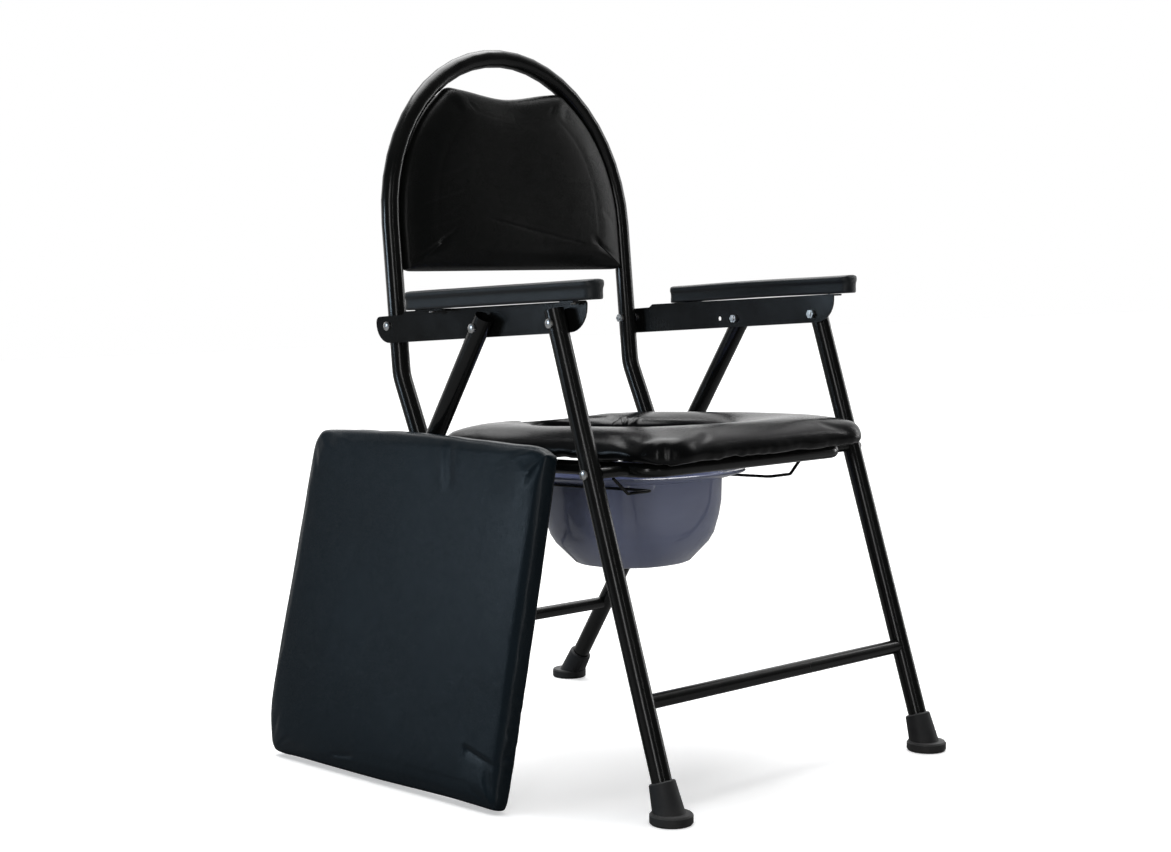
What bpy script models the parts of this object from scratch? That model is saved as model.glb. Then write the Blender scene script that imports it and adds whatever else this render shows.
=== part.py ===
"""Folding commode chair: welded tube frames, padded seat ring, backrest, arm rests, pan and cover pad.

Units are metres, +Z is up, -Y is the front of the chair and +X is the right-hand side seen from the front.
"""
import math

import bmesh
import bpy
from mathutils import Matrix, Vector

# ---- side view of the frame, as (y, z) -------------------------------------------------------------
FRONT_FOOT_Y = -0.3257
REAR_FOOT_Y = 0.3257
PIVOT_FRONT_LEG = (-0.1455, 0.5520)
PIVOT_REAR_LEG = (-0.0120, 0.5430)
PIVOT_BACK = (0.1765, 0.5405)
SEAT_PIVOT_Z = 0.3810

# ---- sideways layout of one half of the chair ------------------------------------------------------
LEG_X = 0.2391
BACK_X = 0.2095
RAIL_X = 0.1750
PLATE_X = 0.2258
PLATE_THICK = 0.0020
GAP = 0.0003

# ---- tubes, bars and bolts -------------------------------------------------------------------------
TUBE_R = 0.0118
BRACE_R = 0.0087
WALL = 0.0015
BOLT_R = 0.0030
BOLT_TIP = 0.0005
BOLT_CLEARANCE = 0.00015
HEAD_R = 0.0058
HEAD_H = 0.0034
NUT_H = 0.0045
THREAD_SHOWN = 0.0015
HEAD_CROWN_H = 0.0012
HEAD_CROWN_INSET = 0.0022
SPACER_R = 0.0065

# ---- legs and feet ---------------------------------------------------------------------------------
LEG_TOP_PAST_PIVOT = 0.0160
FRONT_BRACE_Z = 0.1290
REAR_BRACE_Z = 0.1210
FRONT_TUBE_START = 0.0160
REAR_TUBE_START = 0.0205
FOOT_FLANGE_R = 0.0250
FOOT_FLANGE_H = 0.0120
FOOT_CONE_R = 0.0190
FOOT_NECK_R = 0.0157
FOOT_NECK_ALONG = 0.0470
FOOT_FLANGE_EDGE = 0.0020
FOOT_LIP = 0.0015

# ---- back frame ------------------------------------------------------------------------------------
BACK_LEAN = 0.100
BACK_BEND_Z = 0.4780
BACK_BEND_R = 0.0600
ARCH_BASE_Z = 0.6705
ARCH_RISE = 0.2215
BACK_END_PAST_PIVOT = 0.0150

# ---- backrest --------------------------------------------------------------------------------------
REST_CLEARANCE = 0.0018
REST_BOTTOM_Z = 0.6080
REST_BOTTOM_CORNER_R = 0.0060
REST_SHOULDER_X = 0.1010
REST_SHOULDER_Z = 0.8486
REST_DIP = 0.0110
REST_REAR_DEPTH = -0.0105
BOARD_THICK = 0.0060
REST_BOARD_MARGIN = 0.0040
REST_PAD_THICK = 0.0260
REST_PAD_LAYERS = (
    (0.0010, 0.0), (0.0, 0.0040), (0.0, 0.0120), (0.0050, 0.0200), (0.0160, 0.0248),
    (0.0340, REST_PAD_THICK),
)
STRAP_HEIGHTS = (0.6500, 0.7600)
STRAP_HALF_HEIGHT = 0.0100
STRAP_THICK = 0.0020

# ---- arm rests -------------------------------------------------------------------------------------
ARM_SLOPE = -0.0575
ARM_TOP_Z = 0.5625
ARM_TOP_Y = 0.0970
PLATE_HEIGHT = 0.0375
PLATE_FRONT_Y = -0.1810
PLATE_REAR_Y = 0.1990
PLATE_FRONT_R = 0.0300
PLATE_REAR_R = 0.0250
PLATE_REAR_TOP_R = 0.0070
PLATE_EDGE_R = 0.0030
NECK_STEP_Y = 0.1420
NECK_DROP = 0.0045
NECK_STEP_RUN = 0.0060
ARM_PAD_X = 0.2367
ARM_PAD_TOE = 0.0260
ARM_PAD_HALF_WIDTH = 0.0155
ARM_PAD_HEIGHT = 0.0225
ARM_PAD_REAR_Y = 0.1150
ARM_PAD_FRONT_Y = -0.2070
ARM_PAD_ARCH = 0.0016
TAB_DEPTH = 0.0200
TAB_THICK = 0.0020
TAB_PROUD = 0.0002
TABS = ((-0.1780, -0.1560), (0.0500, 0.1000))
ARM_SCREW_YS = (-0.1670, 0.0750)
ARM_SCREW_R = 0.0018
ARM_SCREW_LENGTH = 0.0150
ARM_BORE_DEPTH = 0.0165
ARM_BORE_START = 0.0060
SPARE_HOLE = (0.0155, 0.5425)

# ---- seat, in its own frame: s runs rearward from the seat pivot and w is square to the seat ---------
SEAT_FRONT_S = -0.0330
SEAT_REAR_S = 0.3435
SEAT_CORNER_R = 0.0280
SEAT_BAR_S = 0.3360
SEAT_BAR_R = 0.0077
PAD_HALF_WIDTH = 0.1940
PAD_FRONT_S = -0.0740
PAD_REAR_S = 0.3340
PAD_CORNER_R = 0.0450
PAD_BOTTOM_W = 0.0125
BOARD_W = 0.0130
BOARD_TOP_W = 0.0180
PAD_TOP_W = 0.0445
PAD_HEM = 0.0080
BOARD_FOOT_S = (0.0400, 0.2250)
BOARD_FOOT_HALF_X = 0.0090
BOARD_FOOT_HALF_S = 0.0120
BOARD_FOOT_SUNK = 0.0020
OPENING_S = 0.1560
OPENING_HALF_WIDTH = 0.1080
OPENING_HALF_LENGTH = 0.1250
THROAT_S = 0.2640
THROAT_R = 0.0600

# ---- pan and its rails -----------------------------------------------------------------------------
WIRE_R = 0.0020
WIRE_X = 0.1085
WIRE_OUT_X = 0.1500
WIRE_ROOT_X = 0.1740
WIRE_BEND_R = 0.0060
WIRE_W = -0.0310
WIRE_FRONT_S = 0.0300
WIRE_REAR_S = 0.3150
PAN_S = 0.1700
PAN_HALF_X = 0.1045
PAN_HALF_S = 0.1130
PAN_SQUARENESS = 2.5
PAN_DEPTH = 0.1070
PAN_WALL = 0.0025
RIM_HALF_X = 0.1290
RIM_HALF_S = 0.1440
RIM_FLARE = 0.0060
RIM_THICK = 0.0035

# ---- fold: slot pin -------------------------------------------------------------------------------
FOLD_ANGLE = math.radians(70.0)
REAR_LEG_TURN = 0.65
PIN_W = -0.0300
PIN_R = 0.0040
PIN_HEAD_X = 0.2535
PIN_HEAD_R = 0.0075
PIN_TIP_GAP = 0.0005
SLOT_CLEAR = 0.0006
SLOT_PLATE_X = 0.1866
SLOT_PLATE_THICK = 0.0024
SLOT_BORDER = 0.0032
SLOT_EAR_STARTS = (0.2420, 0.2560)
SLOT_EAR_LENGTH = 0.0120
SLOT_EAR_W = (0.0044, 0.0090)

# ---- loose cover pad -------------------------------------------------------------------------------
COVER_LENGTH = 0.4150
COVER_HEIGHT = 0.4150
COVER_THICK = 0.0220
COVER_LEAN = math.radians(12.0)
COVER_YAW = math.radians(1.2)
COVER_FOOT = (-0.3434, 0.0409)
COVER_CORNER_R = 0.0140

# ---- the chair's middle plane, moved so that the origin is under the middle of chair and cover pad ----
CHAIR_X = 0.0511


def clear_scene():
    for item in list(bpy.data.objects):
        bpy.data.objects.remove(item, do_unlink=True)


def material(name, colour, roughness, metallic):
    made = bpy.data.materials.new(name)
    made.use_nodes = True
    shader = made.node_tree.nodes["Principled BSDF"]
    shader.inputs["Base Color"].default_value = (*colour, 1.0)
    shader.inputs["Roughness"].default_value = roughness
    shader.inputs["Metallic"].default_value = metallic
    made.diffuse_color = (*colour, 1.0)
    return made


def body(name, pivot, parent=None, tilt=0.0, yaw=0.0):
    """Empty on the joint axis of one rigid body."""
    empty = bpy.data.objects.new(name, None)
    bpy.context.scene.collection.objects.link(empty)
    empty.empty_display_size = 0.04
    empty.rotation_euler = (tilt, 0.0, yaw)
    empty.location = (pivot[0] + CHAIR_X, pivot[1], pivot[2])
    if parent is not None:
        empty.parent = parent
        bpy.context.view_layer.update()
        empty.matrix_parent_inverse = parent.matrix_world.inverted()
    bpy.context.view_layer.update()
    return empty


def solid(name, verts, faces, mat, parent, smooth=True):
    """Closed mesh whose vertices are given in the frame of its parent body."""
    mesh = bpy.data.meshes.new(name)
    mesh.from_pydata([tuple(v) for v in verts], [], faces)
    work = bmesh.new()
    work.from_mesh(mesh)
    bmesh.ops.recalc_face_normals(work, faces=work.faces)
    work.to_mesh(mesh)
    work.free()
    mesh.materials.append(mat)
    made = bpy.data.objects.new(name, mesh)
    bpy.context.scene.collection.objects.link(made)
    made.parent = parent
    shade(made, smooth)
    return made


def shade(made, smooth):
    """Smooth shading that keeps the crisp edges of turned and bent parts."""
    if not smooth:
        return
    crease = math.radians(35.0)
    made.data.shade_smooth()
    work = bmesh.new()
    work.from_mesh(made.data)
    for edge in work.edges:
        sharp = len(edge.link_faces) == 2 and edge.calc_face_angle(0.0) > crease
        edge.smooth = not sharp
    work.to_mesh(made.data)
    work.free()


def combine(target, tools, operation):
    """Apply exact Booleans to the target and remove the tool bodies."""
    for index, tool in enumerate(tools):
        step = target.modifiers.new("cut%d" % index, "BOOLEAN")
        step.operation = operation
        step.solver = "EXACT"
        step.object = tool
    bpy.context.view_layer.update()
    graph = bpy.context.evaluated_depsgraph_get()
    mesh = bpy.data.meshes.new_from_object(target.evaluated_get(graph))
    old = target.data
    target.modifiers.clear()
    target.data = mesh
    mesh.name = old.name
    bpy.data.meshes.remove(old)
    for tool in tools:
        tool_mesh = tool.data
        bpy.data.objects.remove(tool, do_unlink=True)
        bpy.data.meshes.remove(tool_mesh)
    shade(target, True)


def ring_solid(name, rings, mat, parent, smooth=True, loop=False):
    """Loft through rings of equal count; the ends are capped, or joined when loop is set."""
    count = len(rings[0])
    verts = [point for ring in rings for point in ring]
    faces = []
    spans = len(rings) if loop else len(rings) - 1
    for r in range(spans):
        here = r * count
        there = ((r + 1) % len(rings)) * count
        for i in range(count):
            j = (i + 1) % count
            faces.append((here + i, here + j, there + j, there + i))
    if not loop:
        faces.append(tuple(range(count)))
        faces.append(tuple(range((len(rings) - 1) * count, len(rings) * count)))
    return solid(name, verts, faces, mat, parent, smooth)


def frames_along(path):
    """Tangent and two side vectors at each point of a path, carried without twist."""
    tangents = []
    for i, point in enumerate(path):
        before = path[max(i - 1, 0)]
        after = path[min(i + 1, len(path) - 1)]
        incoming = (point - before).normalized() if i > 0 else (after - point).normalized()
        outgoing = (after - point).normalized() if i < len(path) - 1 else incoming
        tangents.append((incoming + outgoing).normalized())
    side = tangents[0].orthogonal().normalized()
    result = []
    for i, tangent in enumerate(tangents):
        side = (side - tangent * side.dot(tangent)).normalized()
        stretch = 1.0
        bisector = None
        if 0 < i < len(path) - 1:
            incoming = (path[i] - path[i - 1]).normalized()
            stretch = 1.0 / max(incoming.dot(tangent), 0.5)
            bend = (path[i + 1] - path[i]).normalized() - incoming
            bisector = bend.normalized() if bend.length > 1e-6 else None
        result.append((tangent, side.copy(), tangent.cross(side), stretch, bisector))
    return result


def pipe_rings(path, radius, segments):
    rings = []
    for point, (tangent, side, up, stretch, bisector) in zip(path, frames_along(path)):
        ring = []
        for i in range(segments):
            angle = 2.0 * math.pi * i / segments
            offset = (side * math.cos(angle) + up * math.sin(angle)) * radius
            if bisector is not None:
                offset += bisector * offset.dot(bisector) * (stretch - 1.0)
            ring.append(point + offset)
        rings.append(ring)
    return rings


def pipe(name, path, radius, mat, parent, wall=0.0, segments=16):
    """Round bar, or an open-ended tube when a wall thickness is given."""
    outer = pipe_rings(path, radius, segments)
    if wall == 0.0:
        return ring_solid(name, outer, mat, parent)
    inner = pipe_rings(path, radius - wall, segments)
    return ring_solid(name, outer + inner[::-1], mat, parent, loop=True)


def fillet(corners, radius, steps):
    """Polyline with its inner corners rounded by arcs."""
    path = [Vector(corners[0])]
    for before, corner, after in zip(corners, corners[1:], corners[2:]):
        here = Vector(corner)
        to_before = (Vector(before) - here).normalized()
        to_after = (Vector(after) - here).normalized()
        half = to_before.angle(to_after) / 2.0
        reach = radius / math.tan(half)
        centre = here + (to_before + to_after).normalized() * (radius / math.sin(half))
        start = here + to_before * reach - centre
        finish = here + to_after * reach - centre
        sweep = start.angle(finish)
        axis = start.cross(finish).normalized()
        for i in range(steps + 1):
            turned = Matrix.Rotation(sweep * i / steps, 3, axis) @ start
            path.append(centre + turned)
    path.append(Vector(corners[-1]))
    return path


def cylinder_x(name, y, z, x_from, x_to, radius, mat, parent, segments=12, turn=0.0):
    rings = []
    for x in (x_from, x_to):
        ring = []
        for i in range(segments):
            angle = turn + 2.0 * math.pi * i / segments
            ring.append((x, y + radius * math.cos(angle), z + radius * math.sin(angle)))
        rings.append(ring)
    return ring_solid(name, rings, mat, parent)


def lathe_x(name, y, z, profile, mat, parent, segments=12, loop=False):
    """Turned part on an X axis; the profile is a list of (x, radius)."""
    rings = []
    for x, radius in profile:
        ring = []
        for i in range(segments):
            angle = 2.0 * math.pi * (i + 0.5) / segments
            ring.append((x, y + radius * math.cos(angle), z + radius * math.sin(angle)))
        rings.append(ring)
    return ring_solid(name, rings, mat, parent, loop=loop)


def drill(target, holes, x_from, x_to, radius, parent, segments=12):
    mat = target.data.materials[0]
    tools = [cylinder_x("drill", y, z, x_from, x_to, radius, mat, parent, segments) for y, z in holes]
    combine(target, tools, "DIFFERENCE")


def extrude_x(name, outline, x_from, x_to, mat, parent):
    rings = [[(x, y, z) for y, z in outline] for x in (x_from, x_to)]
    return ring_solid(name, rings, mat, parent)


def block(name, low, high, mat, parent):
    x0, y0, z0 = low
    x1, y1, z1 = high
    ring = [(x0, y0), (x1, y0), (x1, y1), (x0, y1)]
    return ring_solid(name, [[(x, y, z) for x, y in ring] for z in (z0, z1)], mat, parent, smooth=False)


def arc_points(cy, cz, radius, start, stop, steps):
    points = []
    for i in range(steps + 1):
        angle = math.radians(start + (stop - start) * i / steps)
        points.append((cy + radius * math.cos(angle), cz + radius * math.sin(angle)))
    return points


def relative(point, origin):
    return (point[0] - origin[0], point[1] - origin[1])


def turned(vector, angle):
    cosine = math.cos(angle)
    sine = math.sin(angle)
    return (vector[0] * cosine - vector[1] * sine, vector[0] * sine + vector[1] * cosine)


# ---- layout worked out from the driving sizes ------------------------------------------------------
leg_run = (SEAT_PIVOT_Z - PIVOT_FRONT_LEG[1]) / PIVOT_FRONT_LEG[1]
SEAT_PIVOT = (PIVOT_FRONT_LEG[0] + (PIVOT_FRONT_LEG[0] - FRONT_FOOT_Y) * leg_run, SEAT_PIVOT_Z)
LINK = (SEAT_PIVOT[0] - PIVOT_FRONT_LEG[0], SEAT_PIVOT[1] - PIVOT_FRONT_LEG[1])
PIVOT_SEAT_BACK = (PIVOT_BACK[0] + LINK[0], PIVOT_BACK[1] + LINK[1])
SEAT_TILT = math.atan2(PIVOT_SEAT_BACK[1] - SEAT_PIVOT[1], PIVOT_SEAT_BACK[0] - SEAT_PIVOT[0])
SEAT_BACK_S = math.hypot(PIVOT_SEAT_BACK[0] - SEAT_PIVOT[0], PIVOT_SEAT_BACK[1] - SEAT_PIVOT[1])


def seat_point(s, w):
    """World (y, z) of a point given in the seat frame."""
    dy, dz = turned((s, w), SEAT_TILT)
    return (SEAT_PIVOT[0] + dy, SEAT_PIVOT[1] + dz)


def pin_on_rear_leg():
    """Point where the rear leg's axis meets the line of the slot's rear end."""
    along = Vector((REAR_FOOT_Y - PIVOT_REAR_LEG[0], -PIVOT_REAR_LEG[1])).normalized()
    normal = Vector(turned((0.0, 1.0), SEAT_TILT))
    start = Vector(relative(PIVOT_REAR_LEG, SEAT_PIVOT))
    reach = (PIN_W - start.dot(normal)) / along.dot(normal)
    found = Vector(PIVOT_REAR_LEG) + along * reach
    return (found.x, found.y)


SLOT_PIN = pin_on_rear_leg()


def slot_path(steps):
    """Track of the slot pin in the seat frame while the chair folds."""
    points = []
    for i in range(steps + 1):
        fold = FOLD_ANGLE * i / steps
        arm = turned(relative(PIVOT_REAR_LEG, PIVOT_FRONT_LEG), -fold)
        leg = turned(relative(SLOT_PIN, PIVOT_REAR_LEG), -REAR_LEG_TURN * fold)
        pin = (PIVOT_FRONT_LEG[0] + arm[0] + leg[0], PIVOT_FRONT_LEG[1] + arm[1] + leg[1])
        points.append(turned(relative(pin, SEAT_PIVOT), fold - SEAT_TILT))
    return points


def offset_track(track, distance):
    """Closed outline at a set distance around an open track."""
    left = []
    right = []
    for i, point in enumerate(track):
        before = track[max(i - 1, 0)]
        after = track[min(i + 1, len(track) - 1)]
        run = Vector((after[0] - before[0], after[1] - before[1])).normalized()
        left.append((point[0] - run.y * distance, point[1] + run.x * distance))
        right.append((point[0] + run.y * distance, point[1] - run.x * distance))
    first = Vector((track[1][0] - track[0][0], track[1][1] - track[0][1]))
    last = Vector((track[-1][0] - track[-2][0], track[-1][1] - track[-2][1]))
    start_angle = math.degrees(math.atan2(first.y, first.x))
    end_angle = math.degrees(math.atan2(last.y, last.x))
    end_cap = arc_points(track[-1][0], track[-1][1], distance, end_angle - 90.0, end_angle + 90.0, 6)
    start_cap = arc_points(track[0][0], track[0][1], distance, start_angle + 90.0, start_angle + 270.0, 6)
    return right[1:-1] + end_cap + left[-2:0:-1] + start_cap


def back_y(z):
    """Lean of the upper back frame."""
    return PIVOT_BACK[0] + BACK_LEAN * (z - PIVOT_BACK[1])


def arm_top(y):
    return ARM_TOP_Z + ARM_SLOPE * (y - ARM_TOP_Y)


clear_scene()
STEEL = material("black_powder_coated_steel", (0.012, 0.012, 0.013), 0.28, 0.0)
ZINC = material("zinc_plated_steel", (0.62, 0.62, 0.60), 0.30, 1.0)
BLACK_VINYL = material("black_vinyl_padding", (0.016, 0.017, 0.019), 0.42, 0.0)
ARM_FOAM = material("moulded_arm_foam", (0.024, 0.025, 0.026), 0.60, 0.0)
RUBBER = material("grey_black_rubber", (0.035, 0.036, 0.038), 0.75, 0.0)
PAN_PLASTIC = material("blue_grey_plastic", (0.42, 0.45, 0.58), 0.35, 0.0)
BOARD = material("black_board", (0.020, 0.019, 0.018), 0.70, 0.0)
NAVY_VINYL = material("navy_vinyl_padding", (0.016, 0.022, 0.030), 0.48, 0.0)

FRONT = body("front_legs_body", (0.0, 0.0, 0.0))
ARMS = body("arms_body", (0.0, *PIVOT_FRONT_LEG), FRONT)
BACK = body("back_body", (0.0, *PIVOT_BACK), ARMS)
REAR = body("rear_legs_body", (0.0, *PIVOT_REAR_LEG), ARMS)
SEAT = body("seat_body", (0.0, *SEAT_PIVOT), FRONT, SEAT_TILT)
PAN = body("pan_body", (0.0, *seat_point(PAN_S, WIRE_W)), SEAT, SEAT_TILT)
SIDES = (("left", -1.0), ("right", 1.0))


def leg(name, sign, foot_y, pivot, start_along, parent, origin):
    """Straight leg tube from inside its ferrule to its open end above the arm pivot."""
    foot = Vector((sign * LEG_X, foot_y - origin[0], -origin[1]))
    top = Vector((sign * LEG_X, pivot[0] - origin[0], pivot[1] - origin[1]))
    along = (top - foot).normalized()
    path = [foot + along * start_along, top + along * LEG_TOP_PAST_PIVOT]
    return pipe(name, path, TUBE_R, STEEL, parent, wall=WALL, segments=20)


def ferrule(name, sign, foot_y, pivot, start_along, parent, origin):
    """Rubber ferrule: flat round flange on the floor and a leaning cone around the tube end."""
    foot = Vector((sign * LEG_X, foot_y - origin[0], -origin[1]))
    top = Vector((sign * LEG_X, pivot[0] - origin[0], pivot[1] - origin[1]))
    along = (top - foot).normalized()
    across = Vector((0.0, along.z, -along.y))
    segments = 20
    rings = []

    def flat_ring(height, radius, follow=0.0):
        centre = foot + along * (height / along.z)
        middle = foot.y + (centre.y - foot.y) * follow
        ring = []
        for i in range(segments):
            angle = 2.0 * math.pi * i / segments
            x = foot.x + radius * math.cos(angle)
            ring.append((x, middle + radius * math.sin(angle), foot.z + height))
        rings.append(ring)

    def square_ring(reach, radius):
        centre = foot + along * reach
        ring = []
        for i in range(segments):
            angle = 2.0 * math.pi * i / segments
            sideways = Vector((radius * math.cos(angle), 0.0, 0.0))
            ring.append(centre + sideways + across * radius * math.sin(angle))
        rings.append(ring)

    flat_ring(0.0, FOOT_FLANGE_R - FOOT_LIP)
    flat_ring(FOOT_FLANGE_EDGE, FOOT_FLANGE_R)
    flat_ring(FOOT_FLANGE_H - FOOT_FLANGE_EDGE, FOOT_FLANGE_R)
    flat_ring(FOOT_FLANGE_H, FOOT_FLANGE_R - FOOT_LIP)
    flat_ring(FOOT_FLANGE_H, FOOT_CONE_R, follow=1.0)
    square_ring(FOOT_NECK_ALONG - FOOT_LIP, FOOT_NECK_R)
    square_ring(FOOT_NECK_ALONG, FOOT_NECK_R - FOOT_LIP)
    square_ring(FOOT_NECK_ALONG, TUBE_R + GAP)
    square_ring(start_along - GAP, TUBE_R + GAP)
    return ring_solid(name, rings, RUBBER, parent)


def brace(name, y, z, along, parent, origin, end_x, seat_radius, radius, wall):
    """Cross tube whose ends are coped to sit on round uprights that run along the given direction."""
    segments = 16
    square = (along[1], -along[0])
    rings = []
    for sign in (-1.0, 1.0):
        for tube_radius in (radius, radius - wall):
            ring = []
            for i in range(segments):
                angle = 2.0 * math.pi * i / segments
                dy = tube_radius * math.cos(angle)
                dz = tube_radius * math.sin(angle)
                off = dy * square[0] + dz * square[1]
                x = end_x - math.sqrt((seat_radius + GAP) ** 2 - off ** 2)
                ring.append((sign * x, y - origin[0] + dy, z - origin[1] + dz))
            rings.append(ring)
    ordered = [rings[0], rings[2], rings[3], rings[1]]
    return ring_solid(name, ordered, STEEL, parent, loop=True)


def direction(start, end):
    run = Vector((end[0] - start[0], end[1] - start[1])).normalized()
    return (run.x, run.y)


def on_line(start, end, z):
    share = (z - start[1]) / (end[1] - start[1])
    return start[0] + (end[0] - start[0]) * share


def bolt(name, sign, centre, under_head_x, tip_x, mat, parent, radius=BOLT_R, head_x=None, head_r=HEAD_R):
    """Pan-headed bolt: the head sits outboard at under_head_x and the shank runs inboard to tip_x."""
    top_x = under_head_x + HEAD_H if head_x is None else head_x
    profile = [
        (sign * tip_x, radius - BOLT_TIP),
        (sign * (tip_x + BOLT_TIP), radius),
        (sign * under_head_x, radius),
        (sign * under_head_x, head_r),
        (sign * (top_x - HEAD_CROWN_H), head_r),
        (sign * top_x, head_r - HEAD_CROWN_INSET),
    ]
    return lathe_x(name, centre[0], centre[1], profile, mat, parent)


def rivet(name, sign, centre, outer_x, inner_x, parent):
    """Pivot pin closed at both ends by a formed head."""
    profile = [
        (sign * (inner_x - HEAD_H), HEAD_R - HEAD_CROWN_INSET),
        (sign * (inner_x - HEAD_H + HEAD_CROWN_H), HEAD_R),
        (sign * inner_x, HEAD_R),
        (sign * inner_x, BOLT_R),
        (sign * outer_x, BOLT_R),
        (sign * outer_x, HEAD_R),
        (sign * (outer_x + HEAD_H - HEAD_CROWN_H), HEAD_R),
        (sign * (outer_x + HEAD_H), HEAD_R - HEAD_CROWN_INSET),
    ]
    return lathe_x(name, centre[0], centre[1], profile, ZINC, parent)


def spacer(name, sign, centre, x_a, x_b, mat, parent):
    """Plain spacer sleeve around a bolt."""
    bore = BOLT_R + BOLT_CLEARANCE
    profile = [(sign * x_a, bore), (sign * x_a, SPACER_R), (sign * x_b, SPACER_R), (sign * x_b, bore)]
    return lathe_x(name, centre[0], centre[1], profile, mat, parent, loop=True)


def nut(name, sign, centre, face_x, parent):
    """Hexagon nut pressed against a face, with the bolt's clearance through it."""
    rings = []
    bore = BOLT_R + BOLT_CLEARANCE
    for x, radius in ((face_x, bore), (face_x, HEAD_R), (face_x - NUT_H, HEAD_R), (face_x - NUT_H, bore)):
        ring = []
        for i in range(12):
            angle = math.pi * i / 6.0
            reach = radius
            if radius > bore and i % 2 == 1:
                reach = radius * math.cos(math.pi / 6.0)
            ring.append((sign * x, centre[0] + reach * math.cos(angle), centre[1] + reach * math.sin(angle)))
        rings.append(ring)
    return ring_solid(name, rings, ZINC, parent, smooth=False, loop=True)


# ---- legs ------------------------------------------------------------------------------------------
DRILL_REACH = TUBE_R + 0.01
HOLE_R = BOLT_R + BOLT_CLEARANCE
FLOOR_ORIGIN = (0.0, 0.0)
front_line = ((FRONT_FOOT_Y, 0.0), PIVOT_FRONT_LEG)
rear_line = ((REAR_FOOT_Y, 0.0), PIVOT_REAR_LEG)
front_set = (FRONT_FOOT_Y, PIVOT_FRONT_LEG, FRONT_TUBE_START, FRONT, FLOOR_ORIGIN)
rear_set = (REAR_FOOT_Y, PIVOT_REAR_LEG, REAR_TUBE_START, REAR, PIVOT_REAR_LEG)
for side, sign in SIDES:
    inner = sign * (LEG_X - DRILL_REACH)
    outer = sign * (LEG_X + DRILL_REACH)
    front_leg = leg("front_leg_" + side, sign, *front_set)
    drill(front_leg, [PIVOT_FRONT_LEG, SEAT_PIVOT], inner, outer, HOLE_R, FRONT)
    rear_leg = leg("rear_leg_" + side, sign, *rear_set)
    drill(rear_leg, [(0.0, 0.0)], inner, outer, HOLE_R, REAR)
    drill(rear_leg, [relative(SLOT_PIN, PIVOT_REAR_LEG)], inner, outer, PIN_R + BOLT_CLEARANCE, REAR)
    ferrule("front_foot_" + side, sign, *front_set)
    ferrule("rear_foot_" + side, sign, *rear_set)

brace_sizes = (LEG_X, TUBE_R, BRACE_R, WALL)
front_brace_y = on_line(*front_line, FRONT_BRACE_Z)
rear_brace_y = on_line(*rear_line, REAR_BRACE_Z)
brace("front_brace", front_brace_y, FRONT_BRACE_Z, direction(*front_line), FRONT, FLOOR_ORIGIN, *brace_sizes)
brace("rear_brace", rear_brace_y, REAR_BRACE_Z, direction(*rear_line), REAR, PIVOT_REAR_LEG, *brace_sizes)

# ---- back frame: one bent tube with both ends on the seat --------------------------------------------
bend = (back_y(BACK_BEND_Z), BACK_BEND_Z)
down = direction(bend, PIVOT_SEAT_BACK)
past = (down[0] * BACK_END_PAST_PIVOT, down[1] * BACK_END_PAST_PIVOT)
low_end = (PIVOT_SEAT_BACK[0] + past[0], PIVOT_SEAT_BACK[1] + past[1])
ARCH_STEPS = 24
REST_SIDE_STEPS = 10
REST_TOP_STEPS = 5


def back_local(x, y, z):
    return Vector((x, y - PIVOT_BACK[0], z - PIVOT_BACK[1]))


def back_side(sign):
    corners = [
        back_local(sign * BACK_X, *low_end),
        back_local(sign * BACK_X, *bend),
        back_local(sign * BACK_X, back_y(ARCH_BASE_Z), ARCH_BASE_Z),
    ]
    return fillet(corners, BACK_BEND_R, 4)


back_path = back_side(-1.0)
for i in range(1, ARCH_STEPS):
    angle = math.pi * (1.0 - i / ARCH_STEPS)
    height = ARCH_BASE_Z + ARCH_RISE * math.sin(angle)
    back_path.append(back_local(BACK_X * math.cos(angle), back_y(height), height))
back_path += back_side(1.0)[::-1]
back_frame = pipe("back_frame", back_path, TUBE_R, STEEL, BACK, wall=WALL, segments=16)
for side, sign in SIDES:
    reach = (sign * (BACK_X - DRILL_REACH), sign * (BACK_X + DRILL_REACH))
    drill(back_frame, [(0.0, 0.0), relative(PIVOT_SEAT_BACK, PIVOT_BACK)], *reach, HOLE_R, BACK)


def backrest_outline(margin):
    """Rounded shield: straight bottom, sides that follow the inside of the arch and a dipped top edge."""
    inset = TUBE_R + REST_CLEARANCE + margin
    half = BACK_X - inset
    rise = ARCH_RISE - inset
    bottom = REST_BOTTOM_Z + margin
    corner = REST_BOTTOM_CORNER_R
    points = arc_points(half - corner, bottom + corner, corner, -90.0, 0.0, 3)
    last = math.acos(REST_SHOULDER_X / half)
    for i in range(REST_SIDE_STEPS + 1):
        angle = last * i / REST_SIDE_STEPS
        points.append((half * math.cos(angle), ARCH_BASE_Z + rise * math.sin(angle)))
    shoulder = points[-1][1]
    top = REST_SHOULDER_Z - margin
    for i in range(1, REST_TOP_STEPS):
        share = i / REST_TOP_STEPS
        swell = math.sin(math.pi * share / 2.0)
        level = shoulder + (top - shoulder) * swell - REST_DIP * swell ** 2
        points.append((REST_SHOULDER_X * (1.0 - share), level))
    mirrored = [(-x, z) for x, z in points[::-1]]
    return points + [(0.0, top - REST_DIP)] + mirrored


def rest_layer(points, depth):
    """Place an outline at a depth measured square to the leaning back, positive toward the sitter."""
    lean = math.atan(BACK_LEAN)
    ring = []
    for x, z in points:
        y = back_y(z) - depth / math.cos(lean)
        ring.append(back_local(x, y, z))
    return ring


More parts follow.
